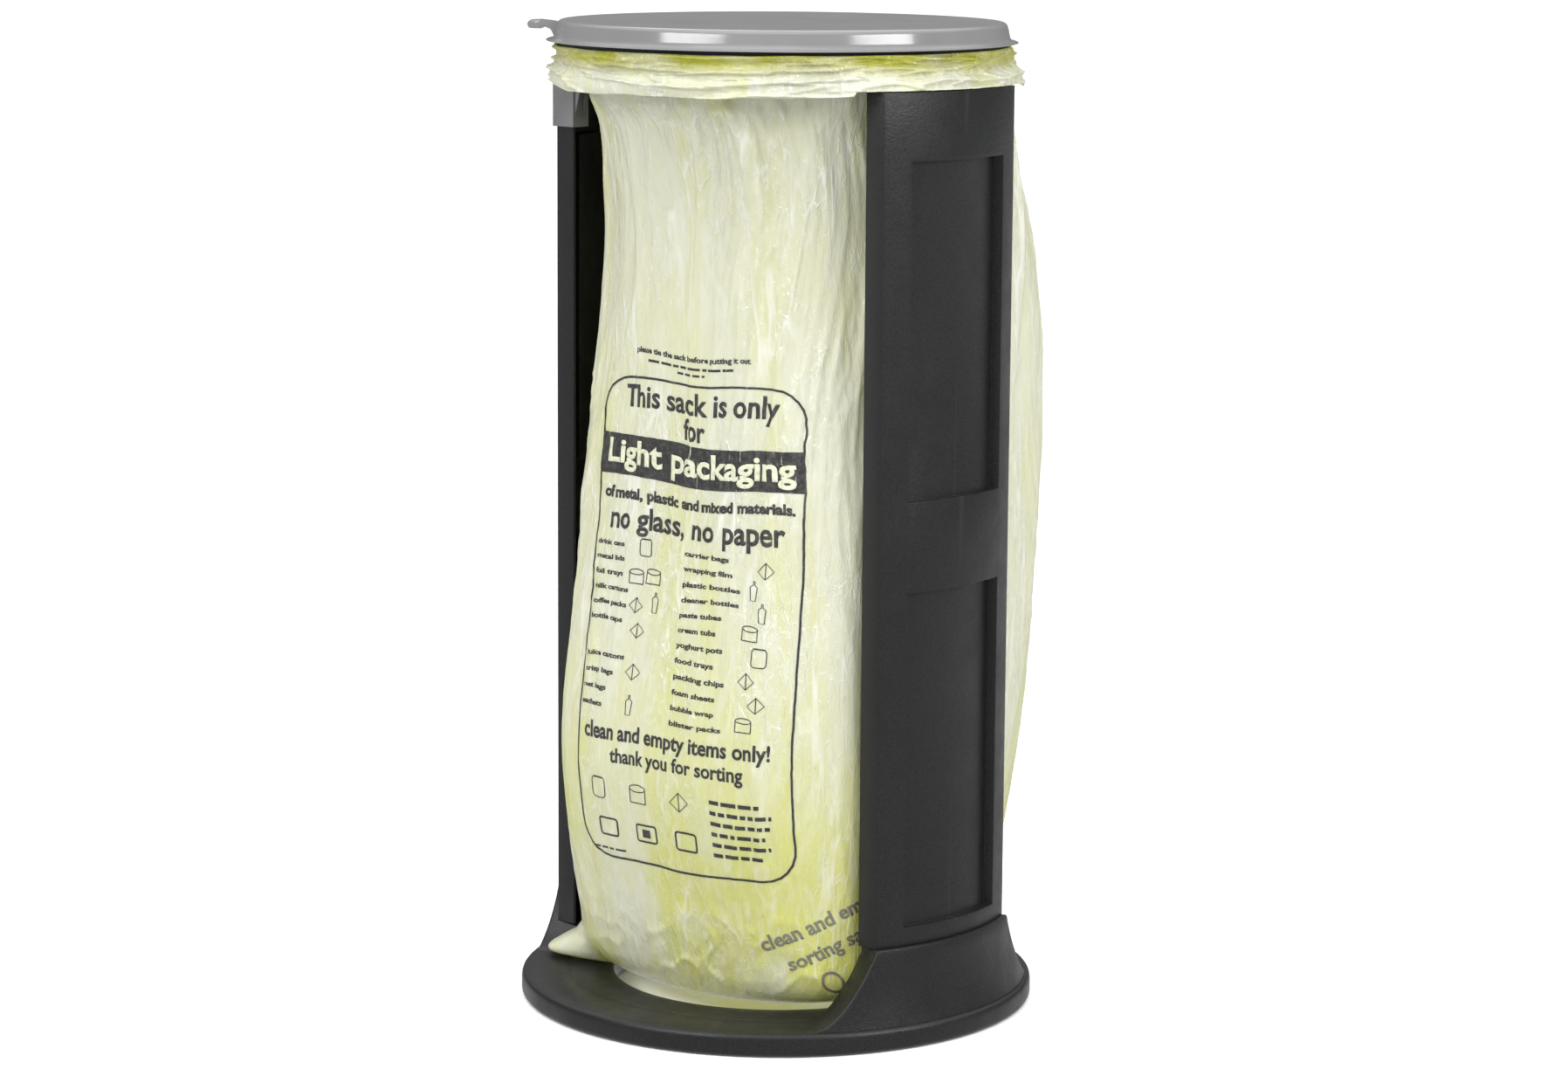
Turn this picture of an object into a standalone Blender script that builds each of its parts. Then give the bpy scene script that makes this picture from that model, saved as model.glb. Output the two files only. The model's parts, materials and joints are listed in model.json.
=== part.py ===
"""Free-standing sack holder: a ring-shaped base, two side panels, a ring that carries
an open refuse sack, a clamp ring and a loose lid.

Metres, +Z up.  The origin is on the floor, on the axis of the rings.  The open front
faces -Y and the two panels stand at +X (right) and -X (left).
Angles around the axis are measured from the front (-Y) towards the right (+X).
"""
import math

import bmesh
import bpy
from mathutils import Matrix, Vector

# ---- driving dimensions -------------------------------------------------------------
SEGMENTS = 48                 # facets of every turned piece, so that they nest
GAP = 0.0003                  # air between two pieces that touch

BASE_RADIUS = 0.218           # widest point of the base
BASE_HOLE_RADIUS = 0.139
BASE_TOP = 0.0195             # height of the base plate
BASE_EDGE_RADIUS = 0.2140     # where the plate starts to round over into its rim
BASE_WALL = 0.003

PANEL_RADIUS = 0.200
PANEL_HALF_ANGLE = math.radians(24.0)
PANEL_BOTTOM = 0.0823
PANEL_TOP = 0.7780
PANEL_WALL = 0.003
PANEL_FLANGE = 0.019          # depth of the two end faces
RECESS_HALF_ANGLE = math.radians(16.6)
RECESS_DEPTH = 0.008
RECESS_SPANS = ((0.097, 0.375), (0.449, 0.723))
WALL_CLEARANCE = 0.0035       # beyond this distance from a field the wall is straight

SKIRT_TOP = 0.0820
SKIRT_TOP_RADIUS = 0.2045
SKIRT_FLARE = 0.0088          # how far the skirt widens down to the base plate
SWEEP_END = 0.0188            # the sweep runs out just inside the base plate
SWEEP_POWER = 1.9
SKIRT_INNER_RADIUS = 0.1775
RIGHT_SKIRT_HALF_ANGLE = PANEL_HALF_ANGLE
RIGHT_SWEEP_ANGLE = math.radians(17.0)
LEFT_SKIRT_HALF_ANGLE = math.radians(19.8)
LEFT_SWEEP_ANGLE = math.radians(10.0)

EAR_HALF_ANGLE = math.radians(20.4)   # the left panel's ends reach down past its skirt
EAR_BOTTOM = 0.0425

SOCKET_FLOOR = 0.0205
SOCKET_INNER_RADIUS = 0.1812
SOCKET_OUTER_RADIUS = 0.1966
SOCKET_HALF_WIDTHS = {1.0: 0.0780, -1.0: 0.0570}   # right and left
PLUG_TOP = 0.0925

RING_INNER_RADIUS = 0.1635
RING_OUTER_RADIUS = 0.1865
RING_BOTTOM = 0.7785
RING_TOP = 0.8030
RING_WALL = 0.003

FILM = 0.0010                 # wall of the solid that stands for the thin film
SACK_INNER_RADIUS = 0.1622    # the sack where it passes through the ring
SACK_OUTER_RADIUS = 0.1880    # the sack where it turns down over the ring
SACK_OVER_RING = 0.8042
SACK_FLOOR = 0.0208
CUFF_RADIUS = 0.1965
CUFF_BOTTOM = 0.7790

CLAMP_INNER_RADIUS = 0.1575
CLAMP_OUTER_RADIUS = 0.1860
CLAMP_BOTTOM = 0.8054
CLAMP_TOP = 0.8094
CLAMP_COLLAR = 0.0030
CLAMP_COLLAR_BOTTOM = 0.7880

LID_RADIUS = 0.1960
LID_TOP = 0.8280
LID_RIM_BOTTOM = 0.8098
LID_SKIRT_RADIUS = 0.1895
LID_SHOULDER_RADIUS = 0.1870
LID_WALL = 0.0025
LID_COLLAR_RADIUS = 0.1565
LID_COLLAR_BOTTOM = 0.7985
TAB_ANGLE = math.radians(-48.0)
TAB_REACH = 0.2120
TAB_WIDTH = 0.034

SCREW_SHAFT_RADIUS = 0.0020
SCREW_HEAD_RADIUS = 0.0042
SCREW_HEAD_HEIGHT = 0.0026
SCREW_HOLE_RADIUS = 0.0024
SCREW_HALF_ANGLE = math.radians(14.0)
SCREW_CIRCLE_RADIUS = 0.1890
RING_SCREW_CIRCLE_RADIUS = 0.1750

FOOT_RADIUS = 0.010
FOOT_CIRCLE_RADIUS = 0.168
FOOT_HEIGHT = 0.0162

COLOURS = {                   # base colour, roughness, metallic
    "dark_plastic": ((0.036, 0.037, 0.037), 0.62, 0.0),
    "grey_plastic": ((0.165, 0.168, 0.170), 0.45, 0.0),
    "lid_plastic": ((0.300, 0.300, 0.305), 0.35, 0.0),
    "clamp_plastic": ((0.030, 0.036, 0.042), 0.50, 0.0),
    "film": ((0.750, 0.760, 0.420), 0.30, 0.0),
    "rubber": ((0.020, 0.020, 0.020), 0.85, 0.0),
    "steel": ((0.550, 0.550, 0.560), 0.35, 1.0),
}


# ---- helpers --------------------------------------------------------------------------
def clear_scene():
    for old in list(bpy.data.objects):
        bpy.data.objects.remove(old, do_unlink=True)


def material(name):
    """One material per kind of stuff, shared by the pieces made of it."""
    made = bpy.data.materials.get(name)
    if made is None:
        made = bpy.data.materials.new(name)
        made.use_nodes = True
        colour, roughness, metallic = COLOURS[name]
        shader = made.node_tree.nodes["Principled BSDF"]
        shader.inputs["Base Color"].default_value = (*colour, 1.0)
        shader.inputs["Roughness"].default_value = roughness
        shader.inputs["Metallic"].default_value = metallic
    return made


def polar(radius, angle, height):
    """A point at an angle from the front, turning towards the right."""
    return Vector((radius * math.sin(angle), -radius * math.cos(angle), height))


def add_object(name, bm, stuff, smooth_angle=30.0):
    """Close the bmesh into a named object with its own material."""
    bmesh.ops.recalc_face_normals(bm, faces=bm.faces)
    mesh = bpy.data.meshes.new(name)
    bm.to_mesh(mesh)
    bm.free()
    mesh.shade_smooth()
    mesh.set_sharp_from_angle(angle=math.radians(smooth_angle))
    mesh.materials.append(material(stuff))
    made = bpy.data.objects.new(name, mesh)
    bpy.context.collection.objects.link(made)
    return made


def add_rings(bm, rings, closed=False):
    """Bridge rings of points with quads; closed joins the last ring to the first."""
    rows = [[bm.verts.new(point) for point in ring] for ring in rings]
    pairs = list(zip(rows, rows[1:]))
    if closed:
        pairs.append((rows[-1], rows[0]))
    for low, high in pairs:
        for i in range(len(low)):
            j = (i + 1) % len(low)
            bm.faces.new((low[i], low[j], high[j], high[i]))
    return rows


def turned(name, profile, stuff):
    """A ring turned from a closed profile of (radius, height) points."""
    bm = bmesh.new()
    rings = []
    for radius, height in profile:
        turn = [math.tau * i / SEGMENTS for i in range(SEGMENTS)]
        rings.append([polar(radius, angle, height) for angle in turn])
    add_rings(bm, rings, closed=True)
    return add_object(name, bm, stuff)


def prism(bm, outline, bottom, top):
    """A closed prism over a plan outline of (x, y) points."""
    low = [bm.verts.new((x, y, bottom)) for x, y in outline]
    high = [bm.verts.new((x, y, top)) for x, y in outline]
    bm.faces.new(low)
    bm.faces.new(high)
    for i in range(len(low)):
        j = (i + 1) % len(low)
        bm.faces.new((low[i], low[j], high[j], high[i]))


def cylinder(bm, centre, radius, bottom, top, sides=12):
    """An upright cylinder over a plan centre."""
    turn = [math.tau * (i + 0.5) / sides for i in range(sides)]
    outline = [(centre[0] + radius * math.cos(a), centre[1] + radius * math.sin(a)) for a in turn]
    prism(bm, outline, bottom, top)


def boolean(target, cutter, operation):
    """Join or cut with a helper object that isn't part of the model."""
    cutter.hide_render = True
    cutter.display_type = "WIRE"
    change = target.modifiers.new(operation.lower(), "BOOLEAN")
    change.operation = operation
    change.solver = "EXACT"
    change.object = cutter


def arc_plan(radius, half_width, side, steps=7):
    """Plan points along one side's arc, between the lines y = -half_width and +half_width."""
    reach = math.asin(half_width / radius)
    angles = [-reach + 2.0 * reach * i / steps for i in range(steps + 1)]
    return [(side * radius * math.cos(a), radius * math.sin(a)) for a in angles]


def block_plan(inner, outer, half_width, side):
    """Plan outline of a curved block between two radii, with parallel ends."""
    return arc_plan(outer, half_width, side) + arc_plan(inner, half_width, side)[::-1]


def screw_places(circle_radius):
    """Plan centres of the four screws, two behind each panel."""
    places = []
    for side in (1.0, -1.0):
        for turn in (-SCREW_HALF_ANGLE, SCREW_HALF_ANGLE):
            places.append((side * circle_radius * math.cos(turn), circle_radius * math.sin(turn)))
    return places


# ---- base -----------------------------------------------------------------------------
def base_profile():
    lip = BASE_HOLE_RADIUS + BASE_WALL
    under = BASE_TOP - BASE_WALL
    return [
        (BASE_HOLE_RADIUS, 0.004), (BASE_HOLE_RADIUS, BASE_TOP), (BASE_EDGE_RADIUS, BASE_TOP),
        (BASE_RADIUS - 0.0015, BASE_TOP - 0.0011), (BASE_RADIUS - 0.0003, BASE_TOP - 0.0035),
        (BASE_RADIUS, BASE_TOP - 0.0060), (BASE_RADIUS, 0.0050), (BASE_RADIUS - 0.0012, 0.0018),
        (BASE_RADIUS - 0.0055, 0.0), (BASE_RADIUS - 0.0090, 0.0), (BASE_RADIUS - 0.0050, 0.0050),
        (BASE_RADIUS - 0.0045, under - 0.0020), (BASE_RADIUS - 0.0065, under),
        (lip, under), (lip, 0.004),
    ]


def sweep_height(angle_past_end, sweep_angle):
    """Top of the skirt: level below the panel, then a hollow sweep down to the plate."""
    share = min(max(angle_past_end / sweep_angle, 0.0), 1.0)
    return SWEEP_END + (SKIRT_TOP - SWEEP_END) * (1.0 - share) ** SWEEP_POWER


def skirt_radius(height):
    """Outer radius of the skirt, flaring out towards the plate."""
    fall = (SKIRT_TOP - height) / (SKIRT_TOP - BASE_TOP)
    return SKIRT_TOP_RADIUS + SKIRT_FLARE * fall * fall


def skirt(name, side, half_angle, sweep_angle):
    """The raised wall below one panel, ending in a sweep on each side."""
    bm = bmesh.new()
    middle = side * math.pi / 2.0
    level_steps = [half_angle * i / 5.0 for i in range(-5, 6)]
    sweep_steps = [half_angle + sweep_angle * (i / 8.0) ** 1.3 for i in range(1, 9)]
    turns = [-t for t in sweep_steps[::-1]] + level_steps + sweep_steps
    foot = BASE_TOP - 0.0015
    sections = []
    for turn in turns:
        top = sweep_height(abs(turn) - half_angle, sweep_angle)
        heights = [foot + (top - foot) * share for share in (0.0, 0.25, 0.55, 1.0)]
        points = [polar(skirt_radius(z), middle + turn, z) for z in heights]
        points.append(polar(SKIRT_INNER_RADIUS, middle + turn, top))
        points.append(polar(SKIRT_INNER_RADIUS, middle + turn, foot))
        sections.append(points)
    rows = add_rings(bm, sections)
    bm.faces.new(rows[0])
    bm.faces.new(rows[-1])
    return add_object(name, bm, "dark_plastic")


def ear_pocket(bm, side_y):
    """Room behind the left skirt's outer wall for one of the left panel's long ends."""
    radius = PANEL_RADIUS + GAP
    turns = [EAR_HALF_ANGLE - math.radians(0.6) + math.radians(1.5) * i for i in range(4)]
    outline = [(-radius * math.cos(t), side_y * radius * math.sin(t)) for t in turns]
    outline += [(-0.160, outline[-1][1]), (-0.160, outline[0][1])]
    prism(bm, outline, EAR_BOTTOM - GAP, SKIRT_TOP + 0.01)


def build_base():
    base = turned("base", base_profile(), "dark_plastic")
    boolean(base, skirt("right_skirt_shape", 1.0, RIGHT_SKIRT_HALF_ANGLE, RIGHT_SWEEP_ANGLE), "UNION")
    boolean(base, skirt("left_skirt_shape", -1.0, LEFT_SKIRT_HALF_ANGLE, LEFT_SWEEP_ANGLE), "UNION")
    hollow = bmesh.new()
    for side, half_width in SOCKET_HALF_WIDTHS.items():
        outline = block_plan(SOCKET_INNER_RADIUS, SOCKET_OUTER_RADIUS, half_width, side)
        prism(hollow, outline, SOCKET_FLOOR, SKIRT_TOP + 0.01)
    for side_y in (-1.0, 1.0):
        ear_pocket(hollow, side_y)
    boolean(base, add_object("socket_cutter", hollow, "dark_plastic"), "DIFFERENCE")
    holes = bmesh.new()
    for place in screw_places(SCREW_CIRCLE_RADIUS):
        cylinder(holes, place, SCREW_HOLE_RADIUS, 0.005, SOCKET_FLOOR + 0.002)
    boolean(base, add_object("base_hole_cutter", holes, "dark_plastic"), "DIFFERENCE")


def build_feet():
    for number in range(4):
        angle = math.radians(45.0 + 90.0 * number)
        bm = bmesh.new()
        cylinder(bm, polar(FOOT_CIRCLE_RADIUS, angle, 0.0), FOOT_RADIUS, 0.0, FOOT_HEIGHT, 16)
        add_object(f"rubber_foot_{number + 1}", bm, "rubber")


def build_plugs():
    """Blocks in the sockets, over which the panels slide; screwed down from below."""
    for label, side in (("right", 1.0), ("left", -1.0)):
        bm = bmesh.new()
        outline = block_plan(SOCKET_INNER_RADIUS + GAP, SOCKET_OUTER_RADIUS - GAP,
                             SOCKET_HALF_WIDTHS[side] - GAP, side)
        prism(bm, outline, SOCKET_FLOOR + GAP, PLUG_TOP)
        plug = add_object(label + "_panel_plug", bm, "dark_plastic")
        holes = bmesh.new()
        for place in screw_places(SCREW_CIRCLE_RADIUS):
            cylinder(holes, place, SCREW_HOLE_RADIUS, SOCKET_FLOOR - 0.002, 0.040)
        boolean(plug, add_object(label + "_plug_cutter", holes, "dark_plastic"), "DIFFERENCE")


def screw(name, place, head_bottom, shaft_tip, head_up):
    """A pan-head screw; its head is above the shaft when head_up is 1 and below at -1."""
    bm = bmesh.new()
    head_far = head_bottom + head_up * SCREW_HEAD_HEIGHT
    levels = [(SCREW_SHAFT_RADIUS, shaft_tip), (SCREW_SHAFT_RADIUS, head_bottom),
              (SCREW_HEAD_RADIUS, head_bottom), (SCREW_HEAD_RADIUS * 0.7, head_far)]
    rings = []
    for radius, height in levels:
        turn = [math.tau * (i + 0.5) / 10 for i in range(10)]
        rings.append([(place[0] + radius * math.cos(a), place[1] + radius * math.sin(a), height)
                      for a in turn])
    rows = add_rings(bm, rings)
    bm.faces.new(rows[0])
    bm.faces.new(rows[-1])
    add_object(name, bm, "steel")


def build_screws():
    under_floor = BASE_TOP - BASE_WALL - 2.0 * GAP
    for number, place in enumerate(screw_places(SCREW_CIRCLE_RADIUS)):
        screw(f"base_screw_{number + 1}", place, under_floor, 0.036, -1)
    for number, place in enumerate(screw_places(RING_SCREW_CIRCLE_RADIUS)):
        screw(f"ring_screw_{number + 1}", place, RING_BOTTOM + RING_WALL + GAP, 0.7690, 1)


# ---- panels ---------------------------------------------------------------------------
def panel_columns(side, end_turns):
    """Plan points of the outer skin, from the front flange round to the rear flange."""
    corner = polar(PANEL_RADIUS, math.pi / 2.0 - PANEL_HALF_ANGLE, 0.0)
    turns = [-t for t in end_turns]
    turns += [-RECESS_HALF_ANGLE + 2.0 * RECESS_HALF_ANGLE * i / 6 for i in range(7)]
    turns += end_turns[::-1]
    arc = [(side * PANEL_RADIUS * math.cos(t), PANEL_RADIUS * math.sin(t)) for t in turns]
    inner_x = side * (corner.x - PANEL_FLANGE)
    return [(inner_x, arc[0][1])] + arc + [(inner_x, arc[-1][1])]


def build_panel(name, side, long_ends):
    """A curved shell with two end faces and two sunk fields, folded from one sheet."""
    bm = bmesh.new()
    edges = [z for span in RECESS_SPANS for z in span]
    straight = [edges[0] - WALL_CLEARANCE, edges[-1] + WALL_CLEARANCE]
    heights = sorted([PANEL_BOTTOM, PANEL_TOP] + straight + edges)
    end_turns = [PANEL_HALF_ANGLE]
    if long_ends:
        heights.insert(0, EAR_BOTTOM)
        end_turns.append(EAR_HALF_ANGLE)
    columns = panel_columns(side, end_turns)
    first = 1 + len(end_turns)          # the columns between these two carry the fields
    last = len(columns) - first - 1
    grid = [[bm.verts.new((x, y, z)) for x, y in columns] for z in heights]
    fields = [[] for span in RECESS_SPANS]
    for row in range(len(heights) - 1):
        for col in range(len(columns) - 1):
            if heights[row] < PANEL_BOTTOM and first - 1 <= col <= last:
                continue
            corners = (grid[row][col], grid[row][col + 1], grid[row + 1][col + 1], grid[row + 1][col])
            face = bm.faces.new(corners if side > 0 else corners[::-1])
            for field, span in zip(fields, RECESS_SPANS):
                if span[0] <= heights[row] < span[1] and first <= col < last:
                    field.append(face)
    bmesh.ops.delete(bm, geom=[v for v in bm.verts if not v.link_faces], context="VERTS")
    for field in fields:
        moved = bmesh.ops.extrude_face_region(bm, geom=field)["geom"]
        bmesh.ops.delete(bm, geom=[f for f in field if f.is_valid], context="FACES")
        for vert in (v for v in moved if isinstance(v, bmesh.types.BMVert)):
            plan = Vector((vert.co.x, vert.co.y, 0.0))
            vert.co -= plan.normalized() * RECESS_DEPTH
    panel = add_object(name, bm, "dark_plastic")
    wall = panel.modifiers.new("wall", "SOLIDIFY")
    wall.thickness = PANEL_WALL
    wall.offset = -1.0
    wall.use_even_offset = True
    outward = sum((f.normal.x * side for f in panel.data.polygons if f.area > 0.003), 0.0)
    if outward < 0.0:
        panel.data.flip_normals()
    return panel


# ---- what carries the ring --------------------------------------------------------------
def build_bracket(name, side):
    """An angle bracket inside the top of a panel, on which the ring is screwed."""
    shelf_top = RING_BOTTOM - GAP
    shelf_bottom = shelf_top - 0.005
    inner, outer = 0.1665, PANEL_RADIUS - PANEL_WALL - 2.0 * GAP
    back = outer - 0.003
    section = [(inner, shelf_top), (outer, shelf_top), (outer, 0.745), (back, 0.745),
               (back, shelf_bottom), (inner, shelf_bottom)]
    bm = bmesh.new()
    reach = math.radians(21.0)
    stations = []
    for step in range(9):
        angle = side * math.pi / 2.0 - reach + 2.0 * reach * step / 8.0
        stations.append([polar(radius, angle, z) for radius, z in section])
    rows = add_rings(bm, stations)
    bm.faces.new(rows[0])
    bm.faces.new(rows[-1])
    bracket = add_object(name, bm, "dark_plastic")
    holes = bmesh.new()
    for place in screw_places(RING_SCREW_CIRCLE_RADIUS):
        cylinder(holes, place, SCREW_HOLE_RADIUS, 0.765, 0.785)
    boolean(bracket, add_object(name + "_cutter", holes, "dark_plastic"), "DIFFERENCE")


def clip_plan(side_y, grow):
    """Plan outline round the end of the left panel, grown outwards by grow."""
    corner = polar(PANEL_RADIUS, math.pi / 2.0 - PANEL_HALF_ANGLE, 0.0)
    end = abs(corner.y)
    outer, inner = corner.x, corner.x - PANEL_FLANGE
    return [(-(outer + grow) - 0.0068, side_y * (end - 0.016)), (-(outer + grow), side_y * (end + grow)),
            (-(inner - grow), side_y * (end + grow)), (-(inner - grow), side_y * (end - 0.016))]


def build_clip(name, side_y):
    """A clip that grips the end of the left panel below the ring, with two gussets."""
    bottom, top = 0.734, PANEL_TOP
    outside = clip_plan(side_y, GAP + 0.0023)
    inside = clip_plan(side_y, GAP)
    bm = bmesh.new()
    prism(bm, outside + inside[::-1], bottom, top)
    clip = add_object(name, bm, "grey_plastic")
    face_x = -(abs(outside[2][0]))
    gussets = bmesh.new()
    for back in (0.002, 0.0125):
        near = outside[2][1] - side_y * back
        far = near - side_y * 0.0022
        profile = ((face_x - 0.001, bottom + 0.006), (face_x - 0.001, top), (face_x + 0.009, top))
        low = [gussets.verts.new((x, near, z)) for x, z in profile]
        high = [gussets.verts.new((x, far, z)) for x, z in profile]
        gussets.faces.new(low)
        gussets.faces.new(high)
        for i in range(3):
            j = (i + 1) % 3
            gussets.faces.new((low[i], low[j], high[j], high[i]))
    boolean(clip, add_object(name + "_gusset_shape", gussets, "grey_plastic"), "UNION")


def build_support_ring():
    """An open-topped channel, screwed to the brackets; the sack hangs over it."""
    floor = RING_BOTTOM + RING_WALL
    inner, outer = RING_INNER_RADIUS, RING_OUTER_RADIUS
    ring = turned("support_ring", [
        (outer, RING_TOP), (outer, RING_BOTTOM), (inner, RING_BOTTOM), (inner, RING_TOP),
        (inner + RING_WALL, RING_TOP), (inner + RING_WALL, floor),
        (outer - RING_WALL, floor), (outer - RING_WALL, RING_TOP)], "grey_plastic")
    holes = bmesh.new()
    for place in screw_places(RING_SCREW_CIRCLE_RADIUS):
        cylinder(holes, place, SCREW_HOLE_RADIUS, RING_BOTTOM - 0.002, floor + 0.002)
    boolean(ring, add_object("ring_hole_cutter", holes, "grey_plastic"), "DIFFERENCE")


def build_clamp_ring():
    """The ring that holds the sack down: a flat flange with a collar in the mouth."""
    inner, outer = CLAMP_INNER_RADIUS, CLAMP_OUTER_RADIUS
    collar = inner + CLAMP_COLLAR
    turned("clamp_ring", [
        (outer, CLAMP_TOP), (outer, CLAMP_BOTTOM), (collar, CLAMP_BOTTOM),
        (collar, CLAMP_COLLAR_BOTTOM), (inner, CLAMP_COLLAR_BOTTOM), (inner, CLAMP_TOP)],
        "clamp_plastic")


# ---- lid ------------------------------------------------------------------------------
def lid_profile():
    """Half section of the lid, from the axis out over the top and back underneath."""
    under = LID_TOP - LID_WALL - 0.0010
    round_centre = (LID_SHOULDER_RADIUS - 0.004, LID_TOP - 0.0055)
    shoulder = []
    for step in range(5):
        turn = math.pi / 2.0 * step / 4.0
        shoulder.append((round_centre[0] + 0.004 * math.sin(turn),
                         round_centre[1] + 0.004 * math.cos(turn)))
    collar = LID_COLLAR_RADIUS
    rib = 0.1785
    return ([(0.120, LID_TOP - 0.0002)] + shoulder
            + [(LID_SKIRT_RADIUS, LID_RIM_BOTTOM + 0.0040), (LID_RADIUS, LID_RIM_BOTTOM + 0.0010),
               (LID_RADIUS, LID_RIM_BOTTOM), (LID_SKIRT_RADIUS, LID_RIM_BOTTOM),
               (LID_SKIRT_RADIUS - LID_WALL, LID_RIM_BOTTOM + 0.0020),
               (LID_SHOULDER_RADIUS - LID_WALL, under - 0.002), (LID_SHOULDER_RADIUS - 0.005, under),
               (rib, under), (rib, CLAMP_TOP + GAP), (rib - 0.003, CLAMP_TOP + GAP),
               (rib - 0.003, under), (collar, under), (collar, LID_COLLAR_BOTTOM),
               (collar - 0.003, LID_COLLAR_BOTTOM), (collar - 0.003, under)])


def build_lid():
    bm = bmesh.new()
    turn = [math.tau * i / SEGMENTS for i in range(SEGMENTS)]
    rows = add_rings(bm, [[polar(r, a, z) for a in turn] for r, z in lid_profile()])
    for row, height in ((rows[0], LID_TOP), (rows[-1], LID_TOP - LID_WALL - 0.0010)):
        centre = bm.verts.new((0.0, 0.0, height))
        for i in range(SEGMENTS):
            bm.faces.new((row[i], row[(i + 1) % SEGMENTS], centre))
    lid = add_object("lid", bm, "lid_plastic")
    boolean(lid, build_tab_shape(), "UNION")


def build_tab_shape():
    """The grip tab: a small shelf level with the top of the lid, its tip turned down."""
    side_view = [(LID_SHOULDER_RADIUS - 0.0012, LID_TOP - 0.0035), (TAB_REACH - 0.003, LID_TOP - 0.0025),
                 (TAB_REACH, LID_TOP - 0.0050), (TAB_REACH - 0.001, LID_TOP - 0.0090),
                 (TAB_REACH - 0.006, LID_TOP - 0.0085), (LID_SKIRT_RADIUS + 0.002, LID_TOP - 0.0085),
                 (LID_SKIRT_RADIUS - 0.0015, LID_TOP - 0.0160)]
    bm = bmesh.new()
    half = TAB_WIDTH / 2.0
    near = [bm.verts.new((half, -radius, z)) for radius, z in side_view]
    far = [bm.verts.new((-half, -radius, z)) for radius, z in side_view]
    bm.faces.new(near)
    bm.faces.new(far)
    for i in range(len(near)):
        j = (i + 1) % len(near)
        bm.faces.new((near[i], near[j], far[j], far[i]))
    bmesh.ops.transform(bm, matrix=Matrix.Rotation(TAB_ANGLE, 4, "Z"), verts=bm.verts)
    return add_object("lid_tab_shape", bm, "lid_plastic")


# ---- sack -----------------------------------------------------------------------------
# Height, half width, reach to the front and to the rear, and squareness of the section.
SACK_STATIONS = (
    (SACK_FLOOR, 0.118, 0.104, 0.110, 2.4),
    (0.0330, 0.146, 0.124, 0.140, 2.8),
    (0.0950, 0.157, 0.146, 0.172, 3.0),
    (0.2000, 0.160, 0.164, 0.192, 3.4),
    (0.3000, 0.162, 0.155, 0.205, 3.4),
    (0.4800, 0.165, 0.138, 0.211, 3.2),
    (0.6100, 0.163, 0.129, 0.197, 3.1),
    (0.7000, 0.160, 0.132, 0.179, 3.0),
    (0.7500, 0.159, 0.148, 0.166, 2.5),
)
PANEL_EDGE_X = 0.1590         # the sack passes between the inner corners of the panels
PANEL_EDGE_Y = 0.0900


def sack_point(angle, width, front, rear, squareness, height):
    """A point of the sack's section, a rounded square pinched between the panels."""
    across, along = math.sin(angle), -math.cos(angle)
    x = width * math.copysign(abs(across) ** (2.0 / squareness), across)
    reach = front if along < 0.0 else rear
    y = reach * math.copysign(abs(along) ** (2.0 / squareness), along)
    limit = PANEL_EDGE_X + 0.5 * max(0.0, abs(y) - PANEL_EDGE_Y)
    return (math.copysign(min(abs(x), limit), x), y, height)


def build_sack():
    turn = [math.tau * i / SEGMENTS for i in range(SEGMENTS)]
    rings = []
    for height, width, front, rear, square in SACK_STATIONS:
        rings.append([sack_point(a, width, front, rear, square, height) for a in turn])
    neck = [(SACK_INNER_RADIUS, RING_BOTTOM - 0.001), (SACK_INNER_RADIUS, SACK_OVER_RING),
            (SACK_OUTER_RADIUS, SACK_OVER_RING), (CUFF_RADIUS - 0.003, 0.7950),
            (CUFF_RADIUS, 0.7860), (CUFF_RADIUS - 0.002, CUFF_BOTTOM)]
    for radius, height in neck:
        rings.append([polar(radius, a, height) for a in turn])
    bm = bmesh.new()
    rows = add_rings(bm, rings)
    centre = bm.verts.new((0.0, 0.0, SACK_FLOOR))
    for i in range(SEGMENTS):
        bm.faces.new((rows[0][i], rows[0][(i + 1) % SEGMENTS], centre))
    sack = add_object("sack", bm, "film", 180.0)
    wall = sack.modifiers.new("film", "SOLIDIFY")
    wall.thickness = FILM
    wall.offset = 0.0
    wall.use_even_offset = True


def main():
    clear_scene()
    build_base()
    build_feet()
    build_plugs()
    build_panel("right_panel", 1.0, long_ends=False)
    build_panel("left_panel", -1.0, long_ends=True)
    build_bracket("right_ring_bracket", 1.0)
    build_bracket("left_ring_bracket", -1.0)
    build_clip("ring_clip_front", -1.0)
    build_clip("ring_clip_rear", 1.0)
    build_support_ring()
    build_screws()
    build_sack()
    build_clamp_ring()
    build_lid()


main()
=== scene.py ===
"""Looks of the sack stand: finely modelled mouldings, a creased film sack with its
print, and their materials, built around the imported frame.  Metres, +Z up."""
import json
import math

import bmesh
import bpy
import numpy as np
from mathutils import Matrix, Vector, noise

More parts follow.
